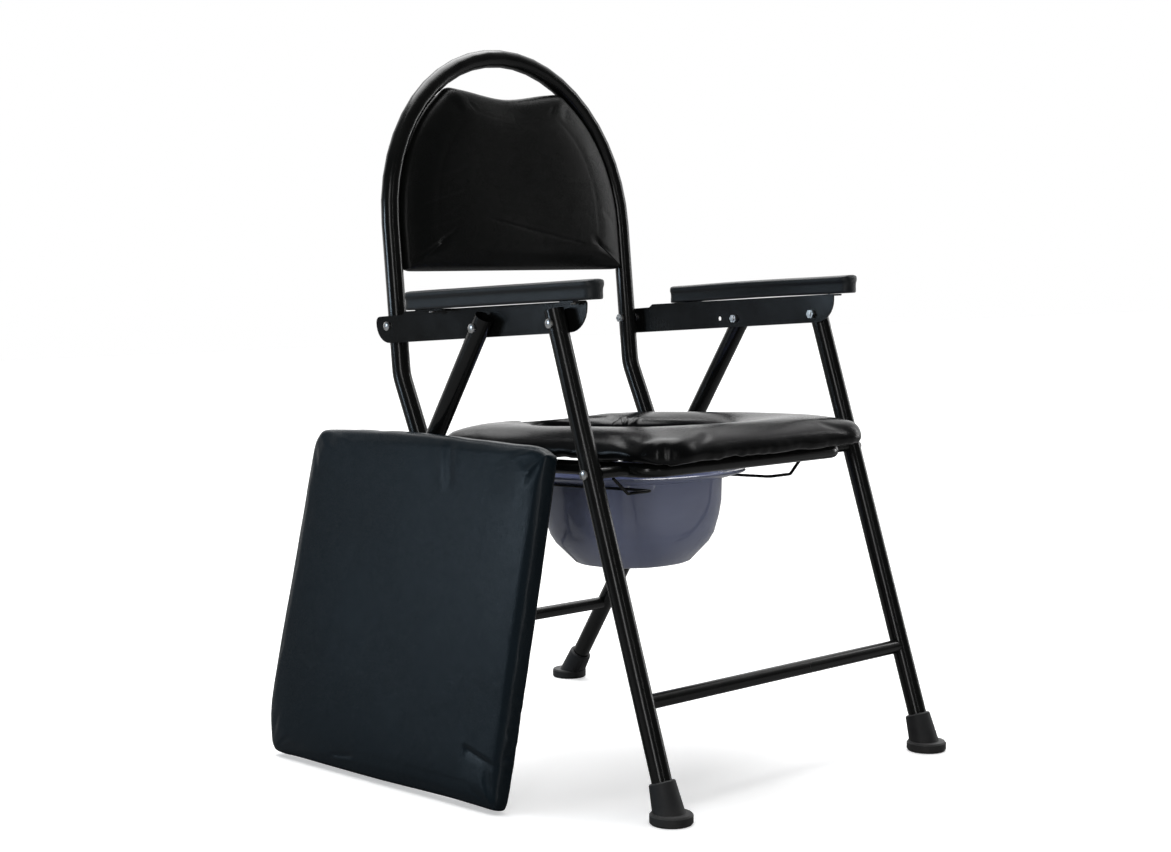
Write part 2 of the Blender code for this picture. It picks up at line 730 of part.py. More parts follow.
REST_FACE = REST_REAR_DEPTH + BOARD_THICK
board_outline = backrest_outline(REST_BOARD_MARGIN)
board_rings = [rest_layer(board_outline, REST_REAR_DEPTH), rest_layer(board_outline, REST_FACE - GAP)]
ring_solid("backrest_board", board_rings, BOARD, BACK)
rest_rings = []
for margin, depth in REST_PAD_LAYERS:
    rest_rings.append(rest_layer(backrest_outline(margin), REST_FACE + depth))
ring_solid("backrest_pad", rest_rings, BLACK_VINYL, BACK)

for label, height in zip(("lower", "upper"), STRAP_HEIGHTS):
    half_x = BACK_X
    if height > ARCH_BASE_Z:
        half_x = BACK_X * math.sqrt(1.0 - ((height - ARCH_BASE_Z) / ARCH_RISE) ** 2)
    rows = []
    for dz in (-STRAP_HALF_HEIGHT, STRAP_HALF_HEIGHT):
        z = height + dz
        row = []
        for x in (-half_x, half_x):
            for depth in (TUBE_R + GAP, TUBE_R + GAP + STRAP_THICK):
                row.append(back_local(x, back_y(z) + depth * math.sqrt(1.0 + BACK_LEAN ** 2), z))
        rows.append([row[0], row[1], row[3], row[2]])
    ring_solid("back_strap_" + label, rows, STEEL, BACK, smooth=False)


# ---- arms ------------------------------------------------------------------------------------------
def arm_local(points):
    return [relative(point, PIVOT_FRONT_LEG) for point in points]


def plate_outline():
    """Flat arm bar: narrow rounded rear neck behind a step, full height forward, big radius at the front."""
    neck_top = arm_top(PLATE_REAR_Y) - NECK_DROP
    bottom_front = arm_top(PLATE_FRONT_Y) - PLATE_HEIGHT
    bottom_rear = arm_top(PLATE_REAR_Y) - PLATE_HEIGHT
    corner = PLATE_REAR_TOP_R
    points = arc_points(PLATE_REAR_Y - corner, neck_top - corner, corner, 0.0, 90.0, 4)
    step_top = arm_top(NECK_STEP_Y)
    points += [(NECK_STEP_Y + NECK_STEP_RUN, step_top - NECK_DROP), (NECK_STEP_Y, step_top)]
    corner = PLATE_EDGE_R
    points += arc_points(PLATE_FRONT_Y + corner, arm_top(PLATE_FRONT_Y) - corner, corner, 90.0, 180.0, 2)
    corner = PLATE_FRONT_R
    points += arc_points(PLATE_FRONT_Y + corner, bottom_front + corner, corner, 180.0, 265.0, 8)
    corner = PLATE_REAR_R
    points += arc_points(PLATE_REAR_Y - corner, bottom_rear + corner, corner, 265.0, 360.0, 8)
    return points


def arm_tab(sign, front, rear):
    """Tab bent out from the bar's top edge; the arm pad lies on it."""
    section = [
        (front, arm_top(front) - TAB_THICK),
        (rear, arm_top(rear) - TAB_THICK),
        (rear, arm_top(rear) + TAB_PROUD),
        (front, arm_top(front) + TAB_PROUD),
    ]
    root = sign * (PLATE_X - PLATE_THICK / 2.0 + TAB_PROUD)
    return extrude_x("tab", arm_local(section), root, sign * (PLATE_X + TAB_DEPTH), STEEL, ARMS)


def arm_pad_x(y):
    """Distance of the arm pad's middle from the chair's middle; the pads stand slightly closer in front."""
    middle = (ARM_PAD_REAR_Y + ARM_PAD_FRONT_Y) / 2.0
    return ARM_PAD_X + ARM_PAD_TOE * (y - middle)


# half section as (across, up)
PAD_SIDE = (
    (0.0136, 0.0), (0.0130, 0.0080), (0.0138, 0.0135), (ARM_PAD_HALF_WIDTH, 0.0160),
    (ARM_PAD_HALF_WIDTH, 0.0188), (0.0122, 0.0218),
)
# stations along the pad as (share of length, width factor, drop of the top)
PAD_STATIONS = (
    (0.0, 0.66, 0.0030), (0.006, 0.84, 0.0012), (0.018, 0.96, 0.0), (0.045, 1.0, 0.0), (0.2, 1.0, 0.0),
    (0.35, 1.0, 0.0), (0.5, 1.0, 0.0), (0.65, 1.0, 0.0), (0.8, 1.0, 0.0),
    (0.955, 1.0, 0.0), (0.982, 0.96, 0.0), (0.994, 0.84, 0.0012), (1.0, 0.66, 0.0030),
)


def arm_pad(name, sign):
    """Moulded pad with a lipped top edge, round in plan at both ends and slightly arched over its length."""
    mirrored = [(-across, up) for across, up in PAD_SIDE[::-1]]
    section = list(PAD_SIDE) + [(0.0, ARM_PAD_HEIGHT)] + mirrored
    rings = []
    for share, width, inset in PAD_STATIONS:
        y = ARM_PAD_REAR_Y + (ARM_PAD_FRONT_Y - ARM_PAD_REAR_Y) * share
        base = arm_top(y) + 2.0 * GAP + ARM_PAD_ARCH * math.sin(math.pi * share) ** 2
        ring = []
        for across, height in section:
            z = base + min(height, ARM_PAD_HEIGHT - inset)
            ring.append((sign * arm_pad_x(y) + across * width, *relative((y, z), PIVOT_FRONT_LEG)))
        rings.append(ring)
    return ring_solid(name, rings, ARM_FOAM, ARMS)


def pad_screw(name, head_seat, normal):
    """Round-headed screw that enters the pad from under its tab."""
    head_r = 2.0 * ARM_SCREW_R
    profile = (
        (-ARM_SCREW_R, 0.75 * head_r), (-ARM_SCREW_R / 2.0, head_r), (0.0, head_r), (0.0, ARM_SCREW_R),
        (ARM_SCREW_LENGTH - ARM_SCREW_R, ARM_SCREW_R), (ARM_SCREW_LENGTH, ARM_SCREW_R / 2.0),
    )
    segments = 10
    across = Vector((1.0, 0.0, 0.0))
    up = normal.cross(across)
    rings = []
    for reach, radius in profile:
        ring = []
        for i in range(segments):
            angle = 2.0 * math.pi * i / segments
            outward = across * math.cos(angle) + up * math.sin(angle)
            ring.append(head_seat + normal * reach + outward * radius)
        rings.append(ring)
    ring_solid(name, rings, ZINC, ARMS)


arm_normal = Vector((0.0, -ARM_SLOPE, 1.0)).normalized()
for side, sign in SIDES:
    inner = sign * (PLATE_X - PLATE_THICK / 2.0)
    outer = sign * (PLATE_X + PLATE_THICK / 2.0)
    plate = extrude_x("arm_plate_" + side, arm_local(plate_outline()), inner, outer, STEEL, ARMS)
    combine(plate, [arm_tab(sign, front, rear) for front, rear in TABS], "UNION")
    holes = arm_local([PIVOT_FRONT_LEG, PIVOT_REAR_LEG, PIVOT_BACK, SPARE_HOLE])
    drill(plate, holes, sign * (PLATE_X - TUBE_R), sign * (PLATE_X + TUBE_R), HOLE_R, ARMS)
    pad = arm_pad("arm_pad_" + side, sign)
    bases = []
    for y in ARM_SCREW_YS:
        bases.append(Vector((sign * arm_pad_x(y), *relative((y, arm_top(y)), PIVOT_FRONT_LEG))))
    for target in (plate, pad):
        bores = []
        for base in bases:
            path = [base - arm_normal * ARM_BORE_START, base + arm_normal * ARM_BORE_DEPTH]
            bores.append(pipe("bore", path, ARM_SCREW_R + BOLT_CLEARANCE, ZINC, ARMS, segments=10))
        combine(target, bores, "DIFFERENCE")
    for label, base in zip(("front", "rear"), bases):
        pad_screw("arm_pad_screw_%s_%s" % (label, side), base - arm_normal * (TAB_THICK + GAP), arm_normal)


# ---- seat frame ------------------------------------------------------------------------------------
seat_corners = [
    (-RAIL_X, SEAT_REAR_S, 0.0),
    (-RAIL_X, SEAT_FRONT_S, 0.0),
    (RAIL_X, SEAT_FRONT_S, 0.0),
    (RAIL_X, SEAT_REAR_S, 0.0),
]
seat_path = fillet(seat_corners, SEAT_CORNER_R, 6)
seat_frame = pipe("seat_frame", seat_path, BRACE_R, STEEL, SEAT, wall=WALL, segments=16)
for side, sign in SIDES:
    reach = (sign * (RAIL_X - DRILL_REACH), sign * (RAIL_X + DRILL_REACH))
    drill(seat_frame, [(0.0, 0.0), (SEAT_BACK_S, 0.0)], *reach, HOLE_R, SEAT)
bar_sizes = (RAIL_X, BRACE_R, SEAT_BAR_R, WALL)
brace("seat_cross_tube", SEAT_BAR_S, 0.0, (1.0, 0.0), SEAT, (0.0, 0.0), *bar_sizes)

track = slot_path(10)
for side, sign in SIDES:
    x_in = sign * (SLOT_PLATE_X - SLOT_PLATE_THICK / 2.0)
    x_out = sign * (SLOT_PLATE_X + SLOT_PLATE_THICK / 2.0)
    outline = offset_track(track, PIN_R + SLOT_CLEAR + SLOT_BORDER)
    plate = extrude_x("slot_bracket_" + side, outline, x_in, x_out, STEEL, SEAT)
    low_x, high_x = sorted((sign * (RAIL_X + BRACE_R + GAP), x_out))
    ears = []
    for start in SLOT_EAR_STARTS:
        low = (low_x, start, SLOT_EAR_W[0])
        high = (high_x, start + SLOT_EAR_LENGTH, SLOT_EAR_W[1])
        ears.append(block("ear", low, high, STEEL, SEAT))
    combine(plate, ears, "UNION")
    slot_outline = offset_track(track, PIN_R + SLOT_CLEAR)
    slot_x = (sign * (SLOT_PLATE_X - TUBE_R), sign * (SLOT_PLATE_X + TUBE_R))
    slot = extrude_x("slot", slot_outline, *slot_x, STEEL, SEAT)
    combine(plate, [slot], "DIFFERENCE")

# ---- seat board and padded ring --------------------------------------------------------------------
RING_STEPS = 56
RING_CENTRE_S = 0.1700


def pad_edge(angle, inset):
    """Outer edge of the seat in the direction of the angle: a rectangle with round corners."""
    half_x = PAD_HALF_WIDTH - inset
    low = PAD_FRONT_S + inset - RING_CENTRE_S
    high = PAD_REAR_S - inset - RING_CENTRE_S
    radius = PAD_CORNER_R - inset
    dx = math.cos(angle)
    ds = math.sin(angle)
    edge_s = high if ds > 0.0 else low
    reach_x = half_x / abs(dx) if abs(dx) > 1e-9 else math.inf
    reach_s = abs(edge_s / ds) if abs(ds) > 1e-9 else math.inf
    reach = min(reach_x, reach_s)
    cx = math.copysign(half_x - radius, dx)
    cs = edge_s - math.copysign(radius, ds)
    x = dx * reach
    s = ds * reach
    if abs(x) > abs(cx) and abs(s) > abs(cs):
        along = dx * cx + ds * cs
        reach = along + math.sqrt(along ** 2 - (cx ** 2 + cs ** 2 - radius ** 2))
    return (dx * reach, RING_CENTRE_S + ds * reach)


def opening_edge(angle, inset):
    """Keyhole opening: a wide oval with a narrower round throat toward the back."""
    dx = math.cos(angle)
    ds = math.sin(angle)
    half_x = OPENING_HALF_WIDTH + inset
    half_s = OPENING_HALF_LENGTH + inset
    offset = RING_CENTRE_S - OPENING_S
    a = (dx / half_x) ** 2 + (ds / half_s) ** 2
    b = ds * offset / half_s ** 2
    c = (offset / half_s) ** 2 - 1.0
    reach = (-b + math.sqrt(b ** 2 - a * c)) / a
    throat = THROAT_R + inset
    away = THROAT_S - RING_CENTRE_S
    under = throat ** 2 - (dx * away) ** 2
    if under > 0.0 and ds > 0.0:
        reach = max(reach, ds * away + math.sqrt(under))
    return (dx * reach, RING_CENTRE_S + ds * reach)


def ring_body(name, stations, mat):
    """Closed ring whose section goes through stations of (edge, inset, w)."""
    rings = []
    for i in range(RING_STEPS):
        angle = 2.0 * math.pi * (i + 0.5) / RING_STEPS
        ring = []
        for edge, inset, w in stations:
            if edge == "mix":
                outer = Vector(pad_edge(angle, 0.0))
                inner = Vector(opening_edge(angle, 0.0))
                spot = outer.lerp(inner, inset)
                ring.append((spot.x, spot.y, w))
            else:
                x, s = pad_edge(angle, inset) if edge == "outer" else opening_edge(angle, inset)
                ring.append((x, s, w))
        rings.append(ring)
    return ring_solid(name, rings, mat, SEAT, loop=True)


board_edge = PAD_HEM + 0.0005
board_stations = (
    ("outer", board_edge, BOARD_W),
    ("outer", board_edge, BOARD_TOP_W),
    ("inner", board_edge, BOARD_TOP_W),
    ("inner", board_edge, BOARD_W),
)
seat_board = ring_body("seat_board", board_stations, BOARD)
feet = []
for x in (-RAIL_X, RAIL_X):
    for s in BOARD_FOOT_S:
        low = (x - BOARD_FOOT_HALF_X, s - BOARD_FOOT_HALF_S, BRACE_R + GAP)
        high = (x + BOARD_FOOT_HALF_X, s + BOARD_FOOT_HALF_S, BOARD_W + BOARD_FOOT_SUNK)
        feet.append(block("board_foot", low, high, BOARD, SEAT))
combine(seat_board, feet, "UNION")
# section of the padded ring, from its hem under the outer edge, over the top and down into the opening
pad_stations = (
    ("outer", PAD_HEM, PAD_BOTTOM_W), ("outer", 0.0030, PAD_BOTTOM_W), ("outer", 0.0, 0.0165),
    ("outer", 0.0, 0.0270), ("outer", 0.0050, 0.0340), ("mix", 0.30, 0.0378), ("mix", 0.65, PAD_TOP_W),
    ("inner", 0.0100, 0.0360), ("inner", 0.0020, 0.0310), ("inner", 0.0, 0.0240), ("inner", 0.0, 0.0150),
    ("inner", 0.0030, PAD_BOTTOM_W), ("inner", PAD_HEM, PAD_BOTTOM_W),
    ("inner", PAD_HEM, BOARD_TOP_W + GAP), ("outer", PAD_HEM, BOARD_TOP_W + GAP),
)
ring_body("seat_cushion", pad_stations, BLACK_VINYL)

# ---- pan rails -------------------------------------------------------------------------------------
rail_under = -BRACE_R - WIRE_R - GAP
for side, sign in SIDES:
    front_hook = [(WIRE_ROOT_X, WIRE_FRONT_S, rail_under), (WIRE_OUT_X, WIRE_FRONT_S, WIRE_W)]
    run = [(WIRE_X, WIRE_FRONT_S, WIRE_W), (WIRE_X, WIRE_REAR_S, WIRE_W)]
    rear_hook = [(WIRE_OUT_X, WIRE_REAR_S, WIRE_W), (WIRE_ROOT_X, WIRE_REAR_S, rail_under)]
    corners = [(sign * x, s, w) for x, s, w in front_hook + run + rear_hook]
    pipe("pan_rail_" + side, fillet(corners, WIRE_BEND_R, 3), WIRE_R, STEEL, SEAT, segments=8)

# ---- pan, in a frame whose origin is the centre of its rim on the rails ------------------------------
PAN_STEPS = 40
pan_under = WIRE_R + GAP
# outside of the bowl as (share of full width, height above its bottom)
BOWL = ((0.580, 0.0), (0.635, 0.0025), (0.842, 0.0270), (0.900, 0.0380), (0.960, 0.0610), (0.990, 0.0790))
RIM_SHOULDER = 0.0040
pan_profile = [(share, height - PAN_DEPTH) for share, height in BOWL]
pan_profile += [(1.0, pan_under - RIM_SHOULDER), (1.0, pan_under)]


def pan_ring(half_x, half_s, w):
    """Ring of a rounded-square outline."""
    power = 2.0 / PAN_SQUARENESS
    ring = []
    for i in range(PAN_STEPS):
        angle = 2.0 * math.pi * i / PAN_STEPS
        x = math.copysign(abs(math.cos(angle)) ** power, math.cos(angle))
        s = math.copysign(abs(math.sin(angle)) ** power, math.sin(angle))
        ring.append((half_x * x, half_s * s, w))
    return ring


def pan_rim(share, w):
    """Ring on the flange, from the bowl's wall at 0 to the outer edge at 1."""
    half_x = PAN_HALF_X + (RIM_HALF_X - PAN_HALF_X) * share
    half_s = PAN_HALF_S + (RIM_HALF_S - PAN_HALF_S) * share
    return pan_ring(half_x, half_s, pan_under + w)


pan_rings = [pan_ring(PAN_HALF_X * f, PAN_HALF_S * f, w) for f, w in pan_profile]
RIM_EDGE_R = 0.0010
rim_section = (
    (0.30, 0.0), (0.96, RIM_FLARE), (1.0, RIM_FLARE + RIM_EDGE_R), (1.0, RIM_FLARE + RIM_THICK - RIM_EDGE_R),
    (0.94, RIM_FLARE + RIM_THICK), (0.20, RIM_THICK), (-0.04, RIM_THICK),
)
pan_rings += [pan_rim(share, w) for share, w in rim_section]
for f, w in pan_profile[-2::-1]:
    pan_rings.append(pan_ring(PAN_HALF_X * f - PAN_WALL, PAN_HALF_S * f - PAN_WALL, w + PAN_WALL))
ring_solid("pan", pan_rings, PAN_PLASTIC, PAN)

# ---- pivots ----------------------------------------------------------------------------------------
leg_out = LEG_X + TUBE_R + GAP
leg_in = LEG_X - TUBE_R - GAP
plate_in = PLATE_X - PLATE_THICK / 2.0 - GAP
plate_out = PLATE_X + PLATE_THICK / 2.0 + GAP
back_in = BACK_X - TUBE_R - GAP
back_out = BACK_X + TUBE_R + GAP
rail_in = RAIL_X - BRACE_R - GAP
rail_out = RAIL_X + BRACE_R + GAP
origin = PIVOT_FRONT_LEG
for side, sign in SIDES:
    here = relative(PIVOT_FRONT_LEG, origin)
    bolt("front_leg_bolt_" + side, sign, here, leg_out, plate_in - NUT_H - THREAD_SHOWN, ZINC, ARMS)
    nut("front_leg_nut_" + side, sign, here, plate_in, ARMS)
    here = relative(PIVOT_REAR_LEG, origin)
    bolt("rear_leg_bolt_" + side, sign, here, leg_out, plate_in - NUT_H - THREAD_SHOWN, ZINC, ARMS)
    nut("rear_leg_nut_" + side, sign, here, plate_in, ARMS)
    here = relative(PIVOT_BACK, origin)
    bolt("back_bolt_" + side, sign, here, plate_out, back_in - NUT_H - THREAD_SHOWN, ZINC, ARMS)
    nut("back_nut_" + side, sign, here, back_in, ARMS)
    spacer("back_spacer_" + side, sign, here, back_out, plate_in, ZINC, ARMS)
    rivet("seat_front_pin_" + side, sign, (0.0, 0.0), leg_out, rail_in, SEAT)
    spacer("seat_front_spacer_" + side, sign, (0.0, 0.0), rail_out, leg_in, STEEL, SEAT)
    rear = (SEAT_BACK_S, 0.0)
    rivet("seat_rear_pin_" + side, sign, rear, back_out, rail_in, SEAT)
    spacer("seat_rear_spacer_" + side, sign, rear, rail_out, back_in, STEEL, SEAT)
    here = relative(SLOT_PIN, PIVOT_REAR_LEG)
    pin_tip = rail_out + PIN_TIP_GAP
    bolt("slot_pin_" + side, sign, here, leg_out, pin_tip, ZINC, REAR, PIN_R, PIN_HEAD_X, PIN_HEAD_R)

# ---- loose cover pad leaning against the left side ---------------------------------------------------
COVER = body("cover_body", (*COVER_FOOT, GAP), FRONT, yaw=COVER_YAW)
cover_outline = []
half = COVER_LENGTH / 2.0
low_v = COVER_CORNER_R
high_v = COVER_HEIGHT - COVER_CORNER_R
side_y = half - COVER_CORNER_R
centres = ((side_y, low_v), (side_y, high_v), (-side_y, high_v), (-side_y, low_v))
for quarter, centre in enumerate(centres):
    start = 90.0 * (quarter - 1)
    cover_outline += arc_points(*centre, COVER_CORNER_R, start, start + 90.0, 5)


def cover_ring(inset, depth):
    ring = []
    for y, v in cover_outline:
        flat_y = y * (1.0 - inset / half)
        flat_v = COVER_HEIGHT / 2.0 + (v - COVER_HEIGHT / 2.0) * (1.0 - 2.0 * inset / COVER_HEIGHT)
        x = -depth * math.cos(COVER_LEAN) + flat_v * math.sin(COVER_LEAN)
        z = depth * math.sin(COVER_LEAN) + flat_v * math.cos(COVER_LEAN)
        ring.append((x, flat_y, z))
    return ring


# section of the pad's edge as (inset, depth) from its inner face to its outer face
cover_layers = ((0.0040, 0.0), (0.0, 0.0050), (0.0, 0.0155), (0.0040, 0.0202), (0.0180, COVER_THICK))
ring_solid("cover_cushion", [cover_ring(inset, depth) for inset, depth in cover_layers], NAVY_VINYL, COVER)
bpy.context.view_layer.update()
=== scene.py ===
import math

import bmesh
import bpy
import numpy as np
from mathutils import Euler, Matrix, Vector


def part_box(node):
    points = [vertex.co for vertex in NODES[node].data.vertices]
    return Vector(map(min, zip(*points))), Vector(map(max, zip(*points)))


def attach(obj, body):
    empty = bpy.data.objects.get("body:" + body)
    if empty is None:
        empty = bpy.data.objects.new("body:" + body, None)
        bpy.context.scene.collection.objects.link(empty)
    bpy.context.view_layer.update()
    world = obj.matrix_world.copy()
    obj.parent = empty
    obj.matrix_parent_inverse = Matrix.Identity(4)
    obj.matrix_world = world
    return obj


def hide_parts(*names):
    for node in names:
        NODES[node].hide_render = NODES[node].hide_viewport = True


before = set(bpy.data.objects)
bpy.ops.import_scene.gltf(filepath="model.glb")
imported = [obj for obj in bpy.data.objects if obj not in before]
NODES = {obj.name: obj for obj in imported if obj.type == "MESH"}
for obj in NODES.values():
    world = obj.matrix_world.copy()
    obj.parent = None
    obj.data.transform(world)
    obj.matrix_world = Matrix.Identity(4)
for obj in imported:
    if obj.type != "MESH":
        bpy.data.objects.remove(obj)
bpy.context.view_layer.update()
SCENE = bpy.context.scene


# ---- places read from the frame ----------------------------------------------------------------------
def centre(node):
    """Middle of a CAD node's box."""
    low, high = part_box(node)
    return (low + high) / 2.0


MIDDLE = (centre("front_leg_left").x + centre("front_leg_right").x) / 2.0
SEAT_PIVOT = centre("seat_front_pin_left")
SEAT_REAR_PIVOT = centre("seat_rear_pin_left")
SEAT_TILT = math.atan2(SEAT_REAR_PIVOT.z - SEAT_PIVOT.z, SEAT_REAR_PIVOT.y - SEAT_PIVOT.y)
SEAT_ALONG = Vector((0.0, math.cos(SEAT_TILT), math.sin(SEAT_TILT)))
SEAT_UP = Vector((0.0, -math.sin(SEAT_TILT), math.cos(SEAT_TILT)))
SEAT_ORIGIN = Vector((MIDDLE, SEAT_PIVOT.y, SEAT_PIVOT.z))
BACK_PIVOT = centre("back_bolt_left")


# ---- node materials ----------------------------------------------------------------------------------
class Graph:
    """Shader tree of one material, with the object's own coordinates in metres."""

    def __init__(self, name):
        self.material = bpy.data.materials.new(name)
        self.material.use_nodes = True
        self.tree = self.material.node_tree
        self.shader = self.tree.nodes["Principled BSDF"]
        self.place = self.add("ShaderNodeTexCoord").outputs["Object"]

    def add(self, kind, inputs=None, **settings):
        made = self.tree.nodes.new(kind)
        for key, value in settings.items():
            setattr(made, key, value)
        for key, value in (inputs or {}).items():
            self.put(made.inputs[key], value)
        return made

    def put(self, socket, value):
        if isinstance(value, bpy.types.NodeSocket):
            self.tree.links.new(value, socket)
        else:
            socket.default_value = value

    def stretched(self, scale):
        return self.add("ShaderNodeMapping", {"Vector": self.place, "Scale": scale}).outputs["Vector"]

    def noise(self, scale, detail=2.0, vector=None, rough=0.5, distortion=0.0):
        inputs = {"Vector": vector or self.place, "Scale": scale, "Detail": detail, "Roughness": rough,
                  "Distortion": distortion}
        return self.add("ShaderNodeTexNoise", inputs).outputs["Fac"]

    def cells(self, scale, vector):
        inputs = {"Vector": vector, "Scale": scale}
        return self.add("ShaderNodeTexVoronoi", inputs, feature="DISTANCE_TO_EDGE").outputs["Distance"]

    def warped(self, scale, amount):
        wave = self.add("ShaderNodeTexNoise", {"Vector": self.place, "Scale": scale, "Detail": 2.0})
        moved = self.add("ShaderNodeVectorMath", {0: wave.outputs["Color"], 1: (amount, amount, amount)},
                         operation="MULTIPLY")
        return self.add("ShaderNodeVectorMath", {0: self.place, 1: moved.outputs[0]}).outputs[0]

    def remap(self, value, low, high, to_low, to_high):
        inputs = {"Value": value, "From Min": low, "From Max": high, "To Min": to_low, "To Max": to_high}
        return self.add("ShaderNodeMapRange", inputs).outputs["Result"]

    def math(self, kind, a, b=0.0):
        return self.add("ShaderNodeMath", {0: a, 1: b}, operation=kind).outputs[0]

    def mix(self, share, first, second):
        made = self.add("ShaderNodeMix", data_type="RGBA")
        self.put(made.inputs[0], share)
        self.put(made.inputs[6], first)
        self.put(made.inputs[7], second)
        return made.outputs[2]

    def bump(self, height, distance, strength, under=None):
        inputs = {"Height": height, "Distance": distance, "Strength": strength}
        if under is not None:
            inputs["Normal"] = under
        return self.add("ShaderNodeBump", inputs).outputs["Normal"]

    def finish(self, **inputs):
        for key, value in inputs.items():
            self.put(self.shader.inputs[key.replace("_", " ")], value)
        return self.material


def grey(red, green, blue):
    """Opaque colour for a socket; most of them here are near grey."""
    return (red, green, blue, 1.0)


def powder_coat():
    """Gloss black powder coat: fine orange peel, faint rubbing and a little dust."""
    g = Graph("gloss_black_powder_coat")
    peel = g.noise(620.0, 2.0)
    swell = g.noise(95.0, 1.0)
    rub = g.noise(14.0, 6.0, rough=0.62)
    scuff = g.noise(1.0, 4.0, vector=g.stretched((330.0, 330.0, 26.0)), rough=0.6)
    worn = g.remap(g.math("MULTIPLY", scuff, rub), 0.36, 0.50, 0.0, 1.0)
    tone = g.remap(rub, 0.35, 0.75, 0.0, 1.0)
    colour = g.mix(tone, grey(0.0050, 0.0054, 0.0052), grey(0.0085, 0.0090, 0.0086))
    colour = g.mix(g.math("MULTIPLY", worn, 0.14), colour, grey(0.055, 0.056, 0.058))
    rough = g.math("ADD", g.remap(rub, 0.3, 0.8, 0.17, 0.30), g.math("MULTIPLY", worn, 0.06))
    normal = g.bump(peel, 0.00010, 0.32)
    normal = g.bump(swell, 0.00040, 0.20, normal)
    return g.finish(Base_Color=colour, Roughness=rough, Normal=normal, Specular_IOR_Level=0.36,
                    Coat_Weight=0.10, Coat_Roughness=0.08)


def zinc():
    """Bright zinc plate with a faint warm tint, fine turning lines and dull spots."""
    g = Graph("zinc_plate")
    fine = g.noise(1500.0, 2.0)
    turned = g.noise(1.0, 2.0, vector=g.stretched((2600.0, 260.0, 260.0)))
    spots = g.noise(210.0, 4.0, rough=0.65)
    colour = g.mix(g.remap(spots, 0.35, 0.70, 0.0, 1.0), grey(0.74, 0.745, 0.75), grey(0.50, 0.49, 0.46))
    rough = g.remap(spots, 0.3, 0.75, 0.20, 0.42)
    normal = g.bump(turned, 0.00006, 0.35)
    normal = g.bump(fine, 0.00003, 0.30, normal)
    return g.finish(Base_Color=colour, Roughness=rough, Normal=normal, Metallic=1.0)


def rubber():
    """Dull dark rubber: moulding grain, a grey bloom and floor dust near the base."""
    g = Graph("dull_grey_rubber")
    grain = g.noise(900.0, 4.0, rough=0.7)
    bloom = g.noise(48.0, 5.0, rough=0.6)
    height = g.add("ShaderNodeSeparateXYZ", {"Vector": g.place}).outputs["Z"]
    dust = g.math("MULTIPLY", g.remap(height, 0.0, 0.022, 1.0, 0.0), g.remap(bloom, 0.35, 0.70, 0.25, 1.0))
    colour = g.mix(g.remap(bloom, 0.3, 0.75, 0.0, 1.0), grey(0.017, 0.0175, 0.019), grey(0.034, 0.035, 0.037))
    colour = g.mix(g.math("MULTIPLY", dust, 0.45), colour, grey(0.105, 0.100, 0.092))
    rough = g.remap(bloom, 0.3, 0.75, 0.50, 0.74)
    normal = g.bump(grain, 0.00016, 0.45)
    return g.finish(Base_Color=colour, Roughness=rough, Normal=normal, Specular_IOR_Level=0.42)


def moulded_foam():
    """Integral-skin foam: dark blue-grey, fine pebble skin, faint rub marks on top."""
    g = Graph("moulded_foam_skin")
    pebble = g.cells(1500.0, g.warped(500.0, 0.0004))
    skin = g.remap(pebble, 0.0, 0.22, 0.0, 1.0)
    hand = g.noise(36.0, 5.0, rough=0.6)
    pores = g.remap(g.noise(420.0, 2.0), 0.68, 0.78, 0.0, 1.0)
    tone = g.remap(hand, 0.3, 0.75, 0.0, 1.0)
    colour = g.mix(tone, grey(0.0105, 0.0138, 0.0165), grey(0.0172, 0.0218, 0.0250))
    colour = g.mix(g.math("MULTIPLY", pores, 0.5), colour, grey(0.008, 0.009, 0.010))
    rough = g.remap(hand, 0.3, 0.75, 0.36, 0.52)
    normal = g.bump(skin, 0.00012, 0.35)
    normal = g.bump(g.noise(120.0, 2.0), 0.00045, 0.18, normal)
    return g.finish(Base_Color=colour, Roughness=rough, Normal=normal, Specular_IOR_Level=0.45)


def leatherette(name, dark, light, scale, gloss, relief, specular):
    """Grained vinyl: embossed pebbles, soft waves where it is pulled over foam, and rubbed patches."""
    g = Graph(name)
    pebble = g.cells(scale, g.warped(scale * 0.32, 0.42 / scale))
    grain = g.remap(pebble, 0.0, 0.20, 0.0, 1.0)
    fine = g.noise(scale * 3.2, 2.0)
    pull = g.noise(1.0, 3.0, vector=g.stretched((30.0, 46.0, 46.0)), rough=0.55, distortion=0.4)
    rubbed = g.noise(6.5, 5.0, rough=0.6)
    tone = g.math("MULTIPLY", g.remap(rubbed, 0.30, 0.72, 0.0, 1.0), g.remap(grain, 0.0, 1.0, 0.65, 1.0))
    colour = g.mix(tone, dark, light)
    rough = g.remap(rubbed, 0.3, 0.75, gloss + 0.10, gloss)
    rough = g.math("SUBTRACT", rough, g.math("MULTIPLY", grain, 0.05))
    normal = g.bump(pull, 0.0022, relief * 0.40)
    normal = g.bump(grain, 0.00022, relief, normal)
    normal = g.bump(fine, 0.00006, 0.30, normal)
    return g.finish(Base_Color=colour, Roughness=rough, Normal=normal, Specular_IOR_Level=specular)


def hardboard():
    """Black-stained hardboard: long matted fibres that show a little brown."""
    g = Graph("black_hardboard")
    fibre = g.noise(1.0, 5.0, vector=g.stretched((160.0, 620.0, 620.0)), rough=0.7)
    colour = g.mix(g.remap(fibre, 0.35, 0.70, 0.0, 1.0), grey(0.012, 0.011, 0.010), grey(0.036, 0.032, 0.028))
    rough = g.remap(fibre, 0.3, 0.7, 0.62, 0.80)
    return g.finish(Base_Color=colour, Roughness=rough, Normal=g.bump(fibre, 0.0003, 0.5))


